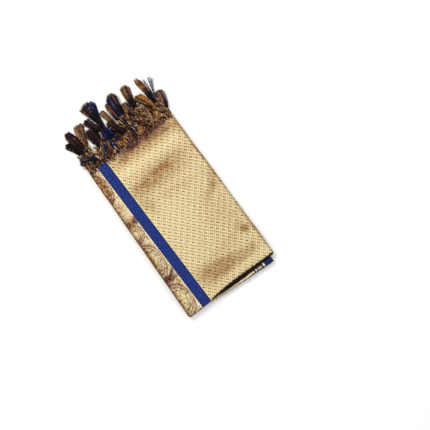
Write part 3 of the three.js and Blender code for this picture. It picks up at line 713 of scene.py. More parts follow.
# The stripes of the cloth's end, from the right: where each ends, counted in x, and its colour.
endStripes = [
    ("#f2e4c0", 20.0), ("#f0e2bc", 66.6), ("#120b09", 70.6), ("#fffaf0", 74.8), ("#120b09", 78.2),
    ("#e6d8b2", 80.5), ("#cbb98c", 90.0), ("#120b09", 94.2), ("#fffaf0", 98.8), ("#0c1030", 100.5),
    ("#16266a", 130.0),
]


# In along the top leaf, round a half circle at the fold and back along the lower leaf. The top leaf sags
# behind the fold. Gives the plain x, y and z, the way round and the distance from the fold, in millimetres.
def hairpin():
    xs, past = np.array(lowerStretch["foldLine"], dtype=float).T
    radius = (lowerStretch["top"] - lowerStretch["bottom"]) / 2
    middle = lowerStretch["bottom"] + radius
    x = np.arange(xs[0], xs[-1] + 0.1, lowerStretch["spacing"])[:, None]
    outermost = fold["foldEnd"] - np.interp(x, xs, past)
    for height, length in lowerStretch["waves"]:
        outermost = outermost + height * np.sin(x / length)
    centre = outermost + radius
    along = np.linspace(0, 1, lowerStretch["leafPoints"])[None, :-1]
    turn = np.linspace(math.pi / 2, 3 * math.pi / 2, lowerStretch["roundPoints"])[None, :]
    leafY = mix(fold["foldEnd"] + lowerStretch["depth"] + 0 * x, centre, along)
    sag = lowerStretch["sag"] * smooth(1 - along, 0, lowerStretch["sagShare"])
    ripple = np.sin(x / lowerStretch["rippleLength"]) * np.sin(lowerStretch["rippleTurn"] * along)
    sag = sag + lowerStretch["ripple"] * ripple
    y = np.concatenate([leafY, centre + radius * np.cos(turn), leafY[:, ::-1]], axis=1)
    flat = 0 * x * along
    rounded = middle + radius * np.sin(turn) + 0 * x
    z = np.concatenate([middle + radius - sag + flat, rounded, middle - radius + flat], axis=1)
    steps = np.cumsum(np.hypot(np.diff(y), np.diff(z)), axis=1)
    around = np.concatenate([np.zeros((len(x), 1)), steps], axis=1)
    return x + 0 * y, y, z, around, y - (centre - radius)


def stripedEndMaterial():
    # The same silk, woven at its end in stripes across, with a blue band between white and dark lines.
    material, add = startMaterial("woven_silk_striped_end", lowerStretch["plain"])
    place, apart = weavePlace(add)
    grain = add("TexNoise", {"Vector": place, "Scale": 0.45, "Detail": 2.0})
    wobble = add("Math MULTIPLY_ADD", (grain, 1.4, apart["X"]))
    colour = add("MixRGB", (add("MapRange", (grain, 0.35, 0.65)), lowerStretch["weft"], endStripes[0][0]))
    for (_, start), (stripe, end) in zip(endStripes, endStripes[1:]):
        pastStart = add("MapRange", (wobble, start + 0.4, start + 1.0))
        beforeEnd = add("MapRange", (wobble, end + 0.4, end + 1.0, 1.0, 0.0))
        colour = tinted(add, pastStart, beforeEnd, colour, stripe)
    clouds = add("TexNoise", {"Vector": place, "Scale": 0.16, "Detail": 2.0})
    cloudy = add("MapRange", (clouds, 0.35, 0.7, 0.0, 0.45))
    colour = add("MixRGB", (cloudy, colour, lowerStretch["cloud"]), blend_type="MULTIPLY")
    # painted shade: under the lip and along the fold the strip goes dark
    shaded = add("SeparateColor", (add("Attribute", attribute_name="turn"),))
    colour = add("MixRGB", (shaded, colour, lowerStretch["shadow"]))
    finishCloth(add, place, colour, add("Math SUBTRACT", (grain, 0.5)), 0.15)
    return material


def addLowerStretch(material):
    x, y, z, around, fromFold = hairpin()
    litX, litWidth = np.array(lowerStretch["lit"], dtype=float).T
    lit = np.interp(x, litX, litWidth)
    soft = lowerStretch["litSoftness"]
    dark = lowerStretch["dark"] * mix(lowerStretch["darkLeast"], 1, smooth(x, 0, lowerStretch["darkFull"]))
    # painted shade past the lit strip, and a painted shadow line along the fold
    shade = np.maximum(smooth(fromFold, lit - soft, lit + soft), smooth(fromFold, dark, 0.5 * dark))
    obj = makeObject("lower_stretch", placed(x, y, z) * mm, [gridFaces(*x.shape, flipped=True)], material,
                     uvs={"weave": np.stack([x, around], -1) * mm},
                     colours={"turn": np.stack([shade, 0 * shade, 0 * shade, 1 + 0 * shade], -1)})
    thicken(obj, lowerStretch["thickness"])
    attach(obj, "root")
    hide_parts("lower_fold")
    return obj


# The hidden layers, from the lowest up: how high each ends, how far its edges lie inside the top stretch's
# outline at the left, the right and the fold end, how far its cut end lies short of the fringe, and its
# colour. Each is a closed slab with a rounded rim.
hiddenStack = {
    "columns": ("top", "left", "right", "end", "cut", "colour"),
    # The colours are the gold cloth darkened as painted shade; the darker ones between also stand for the
    # cloth's dark wrong side.
    "layers": [
        (1.05, 0.3, 0.9, 1.4, 1.4, "#7d5a34"), (2.1, -0.3, 0.2, -0.9, 0.9, "#94703f"),
        (3.15, 0.4, -0.5, -0.2, 1.2, "#6a4628"), (4.2, 0.9, 0.1, 0.3, 0.6, "#86623a"),
        (6.2, 3.4, 3.4, 3.0, 1.0, "#5a3c26"), (8.2, 3.2, 3.2, 3.0, 0.5, "#7a5830"),
        (9.6, 3.6, 3.6, 4.5, 1.1, "#60402a"), (11.0, 5.2, 5.2, 6.0, 0.7, "#86623a"),
    ],
    "corner": 5.5, "cornerPoints": 12, "perimeterPoints": 300, "overlap": 0.12,
    "rimPoints": 7, "flatInsets": [14, 5],  # rings on the flat faces, by how far they lie inside the rim
    # Two waves along each rim: height, turn for each point, turn for each layer
    "waves": ((0.25, 0.31, 2.1), (0.15, 0.83, 1)),
    # The lower stretch lies in this room between the layers
    "slotFrom": -78.0, "slotDepth": 25.0, "slotOver": 4.2, "slotUnder": 9,
    "plain": "#a9854f", "threads": "#4a3020",
}


# A rectangle with its two far corners rounded: down the left side, round, across the fold end, round, up
# the right side and back along the cut end. inset moves every edge inwards.
def slabOutline(layer, inset):
    count = hiddenStack["perimeterPoints"] // 4
    corner = hiddenStack["corner"]
    far = fold["foldEnd"] + layer["end"] + inset
    near = fold["fringeEnd"] - layer["cut"] - inset
    side = np.linspace(near, far + corner, count)
    turn = np.linspace(0, math.pi / 2, hiddenStack["cornerPoints"])[1:-1]
    byCos = corner * (1 - np.cos(turn))
    bySin = corner * (1 - np.sin(turn))
    left = leftAt(side) + layer["left"] + inset
    right = rightAt(side[::-1]) - layer["right"] - inset
    across = np.linspace(left[-1] + corner, right[0] - corner, count)
    acrossY = np.full(count, far)
    if hiddenStack["slotOver"] < layer["top"] < hiddenStack["slotUnder"]:
        slotFrom = hiddenStack["slotFrom"]
        acrossY = acrossY + hiddenStack["slotDepth"] * smooth(across, slotFrom - 2, slotFrom)
    endY = acrossY[-1]
    cutEnd = np.linspace(right[-1], left[0], count)[1:-1]
    x = [left, left[-1] + byCos, across, right[0] - bySin, right, cutEnd]
    y = [side, far + bySin, acrossY, endY + byCos, np.maximum(side[::-1], endY + corner), 0 * cutEnd + near]
    return np.concatenate(x), np.concatenate(y)


def joined(parts):  # several sets of vertices, faces and colours as one
    vertices, faces, colours, start = [], [], [], 0
    for points, blocks, dyes in parts:
        vertices.append(points)
        colours.append(dyes)
        faces += [block + start for block in blocks]
        start += len(points)
    return np.concatenate(vertices), faces, np.concatenate(colours)


# Rings from the underside round the rim to the top, and a point in each face
def layerSlab(index, layer, bottom):
    half = (layer["top"] - bottom) / 2
    turn = np.linspace(-math.pi / 2, math.pi / 2, hiddenStack["rimPoints"])
    flats = hiddenStack["flatInsets"]
    insets = np.concatenate([flats, half * (1 - np.cos(turn)), flats[::-1]])
    lifts = np.concatenate([[-1, -1], np.sin(turn), [1, 1]])
    rings = []
    for inset, lift in zip(insets, lifts):
        x, y = slabOutline(layer, inset)
        way = np.arange(len(x))
        waves = [height * np.sin(way * turns + step * index) for height, turns, step in hiddenStack["waves"]]
        x = x + sum(waves)
        rings.append(placed(x, y, bottom + half * (1 + lift) + 0 * x))
    count = len(rings[0])
    size = len(rings) * count
    around = np.arange(count)
    after = (around + 1) % count
    last = size - count
    middles = np.array([[0, 0, rings[0][0, 2]], [0, 0, rings[-1][0, 2]]])
    faces = [gridFaces(len(rings), count, closed=True),
             np.stack([after, around, np.full(count, size)], -1),
             np.stack([last + around, last + after, np.full(count, size + 1)], -1)]
    return np.concatenate(rings + [middles]), faces, np.tile(linear(layer["colour"]), (size + 2, 1))


def addHiddenLayers(material):
    slabs = []
    bottom = 0.0
    for index, row in enumerate(hiddenStack["layers"]):
        layer = dict(zip(hiddenStack["columns"], row))
        slabs.append(layerSlab(index, layer, bottom))
        bottom = layer["top"] - hiddenStack["overlap"]
    vertices, faces, dyes = joined(slabs)
    obj = makeObject("hidden_layers", vertices * mm, faces, material, colours={"dye": dyes})
    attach(obj, "root")
    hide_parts("inner_layers")
    return obj


def layerEdgeMaterial():
    # The folded and cut edges of the same cloth, with the threads seen end on: its gold darkened to dull
    # brown as painted shade.
    material, add = startMaterial("folded_silk_edges", hiddenStack["plain"])
    place = add("TexCoord").node.outputs["Object"]
    dye = add("Attribute", attribute_name="dye")
    stretched = add("Mapping", {"Vector": place, "Scale": (900.0, 900.0, 2500.0)})
    threads = add("TexNoise", {"Vector": stretched, "Scale": 1.0, "Detail": 2.0})
    colour = add("MixRGB", (add("MapRange", (threads, 0.35, 0.7, 0.0, 0.8)), dye, hiddenStack["threads"]))
    bump = add("Bump", {"Strength": 0.5, "Distance": 0.0004, "Height": threads})
    cloth = add("BsdfPrincipled", {"Base Color": colour, "Roughness": 0.65, "Sheen Weight": 0.1,
                                   "Normal": bump})
    add("OutputMaterial", {"Surface": cloth})
    return material


# The fringe, from left to right, as the solids have it. root is where a tassel leaves the cloth, spread is
# half the width of its brush at the tips and neck half of it at the knot, flare is how late it widens (1 is
# a plain wedge), bow is how far its middle bends sideways, dyed is the share of the way where the tips'
# yarns take over from the neck's, and the yarns are listed from left to right.
fringe = {
    "columns": ("root", "gathers", "knot", "tip", "spread", "neck", "flare", "bow", "dyed", "slot",
                "neckYarns", "tipYarns"),
    "rows": [
        ((-118, -107), 4, (-103, 283, 5), (-117, 329, 1.9), 14, 8, 0.7, 2, 0.35,
         "black_brown_yarn", "black umber plum", "black umber black plum black navy"),
        ((-103, -93), 4, (-93, 292, 5), (-107, 350, 1.9), 9.5, 8, 0.6, 1, 0.35,
         "black_brown_yarn", "black umber black", "rust umber black plum black navy"),
        ((-90, -80), 4, (-81, 294, 5), (-69, 351, 1.9), 13.5, 4, 0.8, -2, 0.1,
         "amber_yarn", "gold brown umber", "tan gold brown straw rust gold tan umber"),
        ((-76, -69), 3, (-86, 244, 15), (-124, 264, 11), 8.5, 8, 1.0, 2, 0.3,
         "navy_yarn", "black black navy", "navy black navy black"),
        ((-64, -54), 4, (-46, 258, 5), (-54, 325, 1.9), 15, 11, 0.8, -1, 0.35,
         "black_brown_yarn", "black plum black", "umber black plum black umber black"),
        ((-46, -39), 3, (-28, 303, 5), (-48, 348, 1.9), 9.5, 7, 0.7, -2, 0.4,
         "black_brown_yarn", "black umber", "umber rust black plum black"),
        ((-33, -23), 4, (-18, 304, 5), (-21, 384, 1.9), 20.5, 4.5, 1.5, 0, 0.55,
         "black_yarn", "black black navy", "brown brown black umber black black navy blue blue"),
        ((-17, -9), 3, (-17, 268, 14), (-21, 303, 11.5), 8, 8, 1.0, 0, 0.1,
         "blue_yarn", "navy black", "navy black navy blue"),
        ((-4, 3), 3, (10, 290, 5), (1, 342, 1.9), 6.5, 5, 0.8, 1, 0.25,
         "amber_yarn", "black brown", "gold straw brown gold"),
        ((8, 15), 3, (17, 259, 14), (-3, 306, 12), 8.5, 8, 0.6, -2, 0.3,
         "black_yarn", "black umber", "black umber black black"),
        ((20, 27), 3, (23, 300, 5), (23, 350, 1.9), 5.5, 4.5, 0.8, 0, 0.3,
         "tan_yarn", "black brown", "black tan brown gold"),
        ((31, 42), 4, (38, 298, 5), (46, 366, 1.9), 13, 8.5, 0.7, -2, 0.42,
         "navy_yarn", "black navy black", "black navy blue black navy tan gold black"),
        ((49, 61), 4, (60, 280, 5), (57, 325, 1.9), 9.5, 8, 0.8, 0, 0.35,
         "tan_yarn", "black umber brown", "umber gold tan black"),
        ((68, 80), 4, (79, 292, 5), (87, 360, 1.9), 11, 5.5, 1.0, -2, 0.42,
         "purple_yarn", "black black umber", "gold straw tan black plum mauve"),
        ((90, 111), 5, (117, 265, 5), (96, 318, 1.9), 10.5, 5, 0.6, 3, 0.15,
         "amber_yarn", "black brown gold", "umber gold amber gold amber gold"),
        ((119, 127), 3, (130, 270, 5), (124, 354, 1.9), 6.5, 6, 0.9, 2, 0.42,
         "amber_yarn", "black black umber", "amber gold rust amber brown"),
        ((132, 135.5), 2, (137, 289, 5), (149, 345, 1.9), 14, 2, 1.3, 0, 0.3,
         "blue_yarn", "navy navy", "slate slate slate"),
        ((139.5, 143), 2, (142, 245, 5), (154, 295, 1.9), 11, 6, 0.8, 2, 0.25,
         "purple_yarn", "brown gold plum black", "plum mauve brown tan plum mauve navy slate"),
    ],
    "clumps": 15, "locks": 160, "lockPoints": 16, "lockRadius": 0.75, "tipRadius": 0.22,
    "crimp": 0.8, "crimpLength": 10.0, "crestShading": 0.9, "oddShare": 0.18, "palest": 0.95, "hairs": 30,
    "hairRadius": 0.2,
    "knot": {"points": 70, "wraps": 4.5, "radius": 1.05, "reach": (-4.4, 4.2), "width": 4.2, "height": 2.9},
    "thinNeck": 3, "thinLocks": 14, "thinHairs": 6, "thinShare": 0.6, "tangledLocks": 36,
    "clumpTones": [0.3, 0.9, 1.9, 0.55, 1.3], "oddYarns": "tan brown slate mauve gold",
    "cordPoints": 18, "underPoints": 12, "tuftPoints": 18, "plyRadius": 1.1, "plyApart": 0.95,
    "plyPitch": 18.0, "sway": 2.4,
    "rootCords": 330, "underCords": 130, "rootFrom": -118.0, "rootTo": 143.5, "bundleWidth": 4.5,
    "bundleTones": [0.35, 1.1, 1.8, 2.5],
    "bandFrom": -97, "bandTo": -66, "endFrom": -119, "endTo": 148, "ontoCloth": 17, "strayLift": 0.6,
    # How far past the cloth the loose yarns reach, from left to right: x, y
    "reachLine": [(-118, 270), (-104, 288), (-84, 294), (-74, 264), (-66, 260), (-50, 280), (-30, 292),
                  (-10, 292), (10, 290), (16, 288), (28, 302), (48, 308), (58, 300), (68, 296), (84, 304),
                  (100, 294), (116, 272), (122, 262), (132, 262), (144, 250)],
    # Single blue strands that cross over the rest: where each starts and ends
    "strays": [((-71, 230.5, 14.6), (-40, 266, 10)), ((-14, 238, 14), (-24, 272, 12)),
               ((-9, 241, 14), (-19, 270, 12)), ((-20, 240, 14), (-28, 271, 12)),
               ((-4, 246, 13), (-13, 274, 12))],
    # Heaps of loops: middle, half width, half length, number of loops, yarn radius, yarns
    "tangle": ((-21, 283, 11.0), 13.0, 18.5, 40, 1.0, "royal navy blue black navy blue black"),
    "tufts": [
        ((-112, 243, 11), 8, 9, 6, 0.95, "brown gold rust umber"),
        ((-99, 248, 11), 8, 10, 5, 0.95, "gold brown umber straw"),
        ((-45, 240, 12), 11, 8, 6, 0.95, "brown rust gold umber"),
        ((-33, 236, 13), 5, 8, 4, 0.95, "straw gold tan brown"),
        ((-11, 242, 13), 9, 6, 6, 0.95, "gold amber brown amber"),
        ((14, 239, 12), 8, 8, 4, 0.95, "rust brown mauve umber"),
        ((40, 240, 12), 12, 8, 5, 0.95, "plum umber brown gold"),
        ((63, 243, 12), 9, 9, 5, 0.95, "rust gold brown black"),
        ((88, 240, 12), 10, 8, 5, 0.95, "gold tan umber plum"),
        ((112, 243, 11), 12, 8, 5, 0.95, "gold brown straw umber"),
        ((134, 240, 10), 7, 7, 5, 0.95, "gold tan brown umber"),
        ((30, 262, 9), 10, 10, 6, 0.95, "gold rust umber brown"),
        ((66, 268, 8), 10, 10, 6, 0.95, "straw plum umber brown"),
    ],
    # Tufts of untwisted yarn over the cloth's edge: start, end, half width at the end, bend, yarns
    "sweeps": [
        ((-60, 230, 14), (-38, 250, 13), 8, 4, "brown gold brown rust"),
        ((-7, 231, 14), (14, 247, 14), 8, 4, "gold amber gold straw"),
        ((22, 229, 14), (27, 250, 13), 6, 0, "rust brown gold rust"),
        ((37, 228, 14), (33, 256, 12), 6, 0, "plum mauve umber plum"),
        ((46, 230, 14), (61, 248, 13), 7, 3, "gold straw amber gold"),
        ((82, 229, 14), (68, 252, 13), 8, -3, "brown rust gold brown"),
        ((92, 234, 14), (95, 270, 11), 6, 0, "straw tan straw mauve"),
        ((100, 231, 14), (120, 251, 13), 8, 4, "gold straw gold amber"),
        ((107, 228, 14), (111, 247, 13), 9, 0, "brown tan umber brown"),
        ((-108, 232, 12), (-98, 272, 10), 8, 2, "brown gold umber tan"),
    ],
    "sweepLocks": 30,
    # The two plies of each loose cord, the bright plies of each bundle, and the cords underneath
    "brightYarns": "gold straw brown gold tan straw cream gold brown mauve rust",
    "darkYarns": "black plum umber plum black black rust umber umber",
    "bundleYarns": ["gold straw tan", "rust gold tan", "mauve rust tan", "straw gold straw",
                    "brown gold rust", "tan gold brown", "mauve tan rust", "tan gold straw",
                    "straw tan tan"],
    "underYarns": "plum umber brown mauve",
    # the second colour here is a near-black painted shade between the yarn's threads
    "plain": "#8d6c4b", "hollowShade": "#0d0809", "fibres": "#3c2a20",
}

yarnColours = {
    "black": "#0d0709", "umber": "#2a160f", "rust": "#65341a", "brown": "#74492e", "gold": "#b98246",
    "amber": "#c07e33", "straw": "#e6c38c", "tan": "#a47a5a", "navy": "#0e1238", "blue": "#1a2c80",
    "royal": "#2a44a6", "plum": "#3a1f30", "mauve": "#70505a", "slate": "#3f4c7c", "cream": "#e9d29c",
}
random = np.random.default_rng(7)


def paletteAt(names, share):  # a colour for each share from 0 to 1 along a list of yarns
    dyes = np.array([linear(yarnColours[name]) for name in names.split()])
    place = np.clip(share, 0, 0.999) * len(dyes)
    return dyes[place.astype(int)]


# Closed tubes along many paths at once. paths is strands x points x 3, and round each point a ring of
# corners lies across the heading there. Gives vertices, face blocks and a colour for each vertex. No yarn
# gets paler than palest.
def tubes(paths, radii, dyes, sides):
    heading = np.gradient(paths, axis=1)
    heading = heading / np.maximum(np.linalg.norm(heading, axis=-1, keepdims=True), 1e-9)
    # A little off the vertical, for upright strands
    sideways = np.cross(heading, np.array([0.03, 0.02, 1.0]))
    sideways = sideways / np.maximum(np.linalg.norm(sideways, axis=-1, keepdims=True), 1e-9)
    upwards = np.cross(sideways, heading)
    angle = (np.arange(sides) * 2 * math.pi / sides)[None, None, :, None]
    rings = paths[:, :, None] + radii[:, :, None, None] * (
        np.cos(angle) * sideways[:, :, None] + np.sin(angle) * upwards[:, :, None])
    strands, points = paths.shape[:2]
    size = points * sides
    first = np.arange(strands)[:, None] * size
    quads = (first[:, :, None] + gridFaces(points, sides, closed=True, flipped=True)[None]).reshape(-1, 4)
    around = np.arange(sides)
    caps = np.concatenate([first + around[None], first + size - sides + around[None, ::-1]])
    tooPale = np.maximum(dyes[..., :3].max(axis=-1, keepdims=True) / fringe["palest"], 1)
    colours = np.repeat((dyes / tooPale)[:, :, None], sides, axis=2)
    return rings.reshape(-1, 3), [quads, caps], colours.reshape(-1, 4)


def yarnObject(name, sets, material):  # tubes round every set of strands, as one object
    vertices, faces, dyes = joined([tubes(*strands, sides) for strands, sides in sets])
    return makeObject(name, vertices * mm, faces, material, colours={"dye": dyes})


def frameOf(tassel):  # the way from knot to tip, the way across it, and the length between them
    reach = np.array(tassel["tip"][:2], dtype=float) - np.array(tassel["knot"][:2], dtype=float)
    length = np.hypot(*reach)
    ahead = reach / length
    return ahead, np.array([ahead[1], -ahead[0]]), length


# Crimped yarn gets a painted highlight on its crests and painted shade in the dips between them, and the
# crests of one group run together.
def crimpTones(way, group):
    count, groups = len(group), group.max() + 1
    phase = random.uniform(0, 2 * math.pi, groups)[group] + random.normal(0, 0.5, count)
    period = random.uniform(6.5, 11.0, groups)[group]
    crest = np.sin(2 * math.pi * way / period[:, None] + phase[:, None])
    return np.clip(1 + fringe["crestShading"] * crest, 0.1, None)


# A brush of locks in clumps. Every clump leaves the neck at its own place, has its own colour and length,
# fans out to its share of the spread and comes down to the floor. Each lock in it adds a crimp of its own
# length and phase.
def brushStrands(tassel, count, radius, tip, splay):
    ahead, beside, length = frameOf(tassel)
    along = np.linspace(0.02, 1, fringe["lockPoints"])[None, :]
    clumps = fringe["clumps"]
    clump = np.sort(random.integers(0, clumps, count))
    clumpShare = (np.arange(clumps) + 0.5) / clumps * 2 - 1 + random.normal(0, 0.1, clumps)
    clumpReach = random.uniform(0.9, 1.03, clumps) * (1 - 0.08 * clumpShare ** 4)
    clumpLevel = random.uniform(-1, 1, clumps)
    clumpTone = random.permutation(np.resize(fringe["clumpTones"], clumps))
    share = (clumpShare[clump] + random.normal(0, 0.12, count))[:, None]
    level = np.clip(clumpLevel[clump] + random.normal(0, 0.5, count), -1, 1)[:, None]
    own = (clumpReach[clump] * random.uniform(0.93, 1.03, count))[:, None]
    width = mix(tassel["neck"], tassel["spread"] * splay, along ** tassel["flare"])
    crimp = fringe["crimp"] * mix(0.3, 1.4, along) * random.uniform(0.5, 1.3, (count, 1))
    phase = random.uniform(0, 2 * math.pi, (count, 1))
    turns = 2 * math.pi * along * length / fringe["crimpLength"] * random.uniform(0.8, 1.2, (count, 1))
    wave = np.sin(turns + phase)
    bow = tassel["bow"] * np.sin(math.pi * along)
    across = width * share + bow + crimp * wave + random.normal(0, 0.9, (count, 1)) * along ** 2
    forward = length * along * own
    x = tassel["knot"][0] + ahead[0] * forward + beside[0] * across
    y = tassel["knot"][1] + ahead[1] * forward + beside[1] * across
    drop = smooth(along, 0, 1)
    thickness = mix(2.8, 1.9, drop) * np.sqrt(np.clip(1 - share ** 2, 0.1, 1))
    z = mix(tassel["knot"][2], tassel["tip"][2], drop) + level * thickness
    z = z + 0.5 * crimp * np.cos(phase + 5 * along) + 0.7 * drop
    radii = mix(radius, radius * 1.15, along) * (1 - (1 - tip / radius) * smooth(along, 0.86, 1))
    z = np.maximum(z, radii + 0.05)
    paths = placed(x, y, z)
    place = (share[:, 0] + 1) / 2 + random.normal(0, 0.09, count)
    neck = paletteAt(tassel["neckYarns"], place)
    tips = paletteAt(tassel["tipYarns"], place)
    turnAt = tassel["dyed"] + random.uniform(-0.1, 0.12, (count, 1))
    blend = smooth(along, turnAt, turnAt + 0.25)[..., None]
    odd = random.uniform(0, 1, count) < fringe["oddShare"]  # a few locks of other dyes in every brush
    tips[odd] = paletteAt(fringe["oddYarns"], random.uniform(0, 1, odd.sum()))
    tone = (clumpTone[clump] * random.uniform(0.7, 1.3, count))[:, None, None]
    # painted highlight and shade along each crimp
    tone = tone * crimpTones(along * length, clump)[..., None]
    return paths, np.broadcast_to(radii, paths.shape[:2]), mix(neck[:, None], tips[:, None], blend) * tone


# Two plies twist round each line from a start to an end: the second is half a turn behind the first and has
# a colour of its own. The line sways sideways in waves that fade to nothing at both of its ends.
def pliedCords(starts, ends, lifts, brightDyes, darkDyes, points=fringe["cordPoints"]):
    count = len(starts)
    along = np.linspace(0, 1, points)[None, :]
    length = np.linalg.norm(ends - starts, axis=-1)[:, None]
    line = mix(starts[:, None], ends[:, None], along[..., None])
    heading = (ends - starts) / length
    beside = np.stack([heading[:, 1], -heading[:, 0], 0 * heading[:, 0]], -1)
    beside = beside / np.maximum(np.linalg.norm(beside, axis=-1, keepdims=True), 1e-9)
    waves = random.uniform(0.7, 2.2, (count, 1))
    sway = fringe["sway"] * random.uniform(-1, 1, (count, 1)) * np.sin(math.pi * along)
    sway = sway * np.sin(2 * math.pi * waves * along + lifts * 9)
    line = line + beside[:, None] * sway[..., None]
    level = mix(starts[:, 2:3], ends[:, 2:3], smooth(along, 0.05, 0.95))
    line[..., 2] = level + lifts * np.sin(math.pi * along)
    sets = []
    for half, dyes in ((0, brightDyes), (math.pi, darkDyes)):
        turn = 2 * math.pi * along * length / fringe["plyPitch"] + half + lifts * 20
        path = line + beside[:, None] * (fringe["plyApart"] * np.cos(turn))[..., None]
        plainY = 2 * path[..., 1] - skewed(path[..., 0], path[..., 1])
        overCloth = clothTop(path[..., 0], plainY) + 0.4
        onCloth = (plainY < fold["fringeEnd"] + 0.5) & (starts[:, 2:3] > overCloth - 0.5)
        lowest = np.where(onCloth, overCloth, fringe["plyRadius"])
        path[..., 2] = np.maximum(path[..., 2] + fringe["plyApart"] * np.sin(turn), lowest)
        taper = fringe["plyRadius"] * (1 - 0.4 * np.abs(2 * along - 1) ** 6)
        sets.append((path, np.broadcast_to(taper, path.shape[:2]), np.repeat(dyes[:, None], points, axis=1)))
    return sets


def clothTop(x, y):  # how high the cloth's outer face lies, with its fall at the two side folds
    fromEdge = np.minimum(x - leftAt(y), rightAt(y) - x)
    drop = np.clip(1 - fromEdge / fold["radius"], 0, 1)
    return topHeight(x, np.minimum(y, fold["fringeEnd"])) - fold["radius"] * (1 - np.sqrt(1 - drop ** 2))


def cordDyes(names, count, tones):
    return paletteAt(names, random.uniform(0, 1, count)) * random.choice(tones, (count, 1))


def gatherCords(tassel):  # the plied cords that draw together from the cloth to the knot
    count = 2 * tassel["gathers"]
    share = np.linspace(0, 1, count)
    x = mix(tassel["root"][0] - 2.5, tassel["root"][1] + 2.5, share) + random.normal(0, 0.8, count)
    x = np.clip(x, fringe["rootFrom"], fringe["rootTo"])
    y = fold["fringeEnd"] + random.uniform(-4.0, 0.4, count)
    level = np.where(y < fold["fringeEnd"], -0.6, random.uniform(0.6, 3.2, count))
    starts = placed(x, y, clothTop(x, y) - level)
    endX = tassel["knot"][0] + mix(-3.2, 3.2, share)
    endY = np.full(count, tassel["knot"][1] - 3.0)
    ends = placed(endX, endY, tassel["knot"][2] + random.normal(0, 0.9, count))
    bright = cordDyes(fringe["brightYarns"] + " " + tassel["tipYarns"], count, [0.6, 1.0, 1.3])
    dark = cordDyes(fringe["darkYarns"] + " " + tassel["neckYarns"], count, [0.6, 1.0, 1.3])
    return pliedCords(starts, ends, random.uniform(0, 1.6, (count, 1)), bright, dark)


def knotCoil(tassel):  # a cord wound round an oval bunch, with a few loose loops
    ahead, beside, _ = frameOf(tassel)
    knot = fringe["knot"]
    points = knot["points"]
    share = np.linspace(0, 1, points)[None, :]
    turn = 2 * math.pi * knot["wraps"] * share
    along = mix(*knot["reach"], share)
    swell = np.sin(math.pi * mix(0.15, 0.9, share))
    out = knot["width"] * swell * np.cos(turn)
    x = tassel["knot"][0] + ahead[0] * along + beside[0] * out
    y = tassel["knot"][1] + ahead[1] * along + beside[1] * out
    z = np.maximum(knot["radius"] + 0.05, tassel["knot"][2] + knot["height"] * swell * np.sin(turn))
    dyes = paletteAt(tassel["neckYarns"] + " " + tassel["tipYarns"], np.array([random.uniform(0, 1)]))
    return placed(x, y, z), np.full(x.shape, knot["radius"]), np.repeat(dyes[:, None], points, axis=1)


# A heap of loops of yarn within an oval: each loop is a bent oval of its own size and heading.
def loopHeap(middle, halfWidth, halfLength, count, radius, names, tones, points=24):
    turn = np.linspace(0, 1.85 * math.pi, points)[None, :] + random.uniform(0, 2 * math.pi, (count, 1))
    heading = random.normal(0.2, 0.7, (count, 1))
    size = random.uniform(0.35, 0.95, (count, 1))
    spin = random.uniform(0, 2 * math.pi, (count, 1))
    out = np.sqrt(random.uniform(0, 1, (count, 1))) * (1 - 0.8 * size)
    longWay = halfLength * size * np.cos(turn)
    shortWay = halfWidth * size * random.uniform(0.35, 0.9, (count, 1)) * np.sin(turn)
    x = middle[0] + halfWidth * out * np.cos(spin) + shortWay * np.cos(heading)
    x = x - 0.6 * longWay * np.sin(heading)
    y = middle[1] + halfLength * out * np.sin(spin) + shortWay * np.sin(heading) + longWay * np.cos(heading)
    z = middle[2] + 2.6 * (random.uniform(-1, 1, (count, 1)) + 0.4 * np.sin(2 * turn + heading * 5))
    dyes = np.repeat(cordDyes(names, count, tones)[:, None], points, axis=1)
    # painted highlight and shade along each loop's crimp
    crests = crimpTones(turn * halfLength, np.arange(count))[..., None]
    return placed(x, y, z), np.full(x.shape, radius), dyes * crests


def addTassel(number, tassel, material):
    thin = tassel["neck"] < fringe["thinNeck"]
    tangled = tassel["slot"] == "blue_yarn" and not thin
    count = int(fringe["locks"] * mix(0.5, 1.25, min(1, tassel["spread"] / 15)))
    count = fringe["thinLocks"] if thin else fringe["tangledLocks"] if tangled else count
    radius = fringe["lockRadius"] * (fringe["thinShare"] if thin else 1)
    hairs = fringe["thinHairs"] if thin else fringe["hairs"]
    sets = [(brushStrands(tassel, count, radius, fringe["tipRadius"], 1.0), 4),
            (brushStrands(tassel, hairs, fringe["hairRadius"], 0.1, 1.25), 3),
            (knotCoil(tassel), 6)]
    sets += [(cords, 5) for cords in gatherCords(tassel)]
    if tangled:
        sets.append((loopHeap(*fringe["tangle"], [0.4, 0.8, 1.2]), 5))
        starts, ends = np.array(fringe["strays"], dtype=float).transpose(1, 0, 2)
        bright = cordDyes("slate blue mauve", len(starts), [0.5, 0.8])
        dark = cordDyes("navy navy plum", len(starts), [0.8, 1.2])
        lifts = np.full((len(starts), 1), fringe["strayLift"])
        sets += [(cords, 5) for cords in pliedCords(starts, ends, lifts, bright, dark)]
    name = "tassel_" + str(number).zfill(2)
    obj = yarnObject("yarn_" + name, sets, material)
    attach(obj, "root")
    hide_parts(name)
    return obj


# The cut ends of the lowest layers: dark plied cords close to the floor, seen only between the others.
def underCords(reachX, reachY):
    count = fringe["underCords"]
    x = np.linspace(fringe["rootFrom"] + 3, fringe["rootTo"] - 3, count) + random.normal(0, 0.6, count)
    y = np.full(count, fold["fringeEnd"] + 0.4)
    endX = x + random.normal(0, 5.0, count)
    endY = y + (np.interp(endX, reachX, reachY) - y) * random.uniform(0.85, 1.0, count)
    starts = placed(x, y, random.uniform(1.6, 3.4, count))
    ends = placed(endX, endY, random.uniform(1.3, 2.2, count))
    dyes = [cordDyes(names, count, [0.7, 1.0, 1.4]) for names in (fringe["underYarns"], fringe["darkYarns"])]
    return pliedCords(starts, ends, random.uniform(0, 0.4, (count, 1)), *dyes, points=fringe["underPoints"])


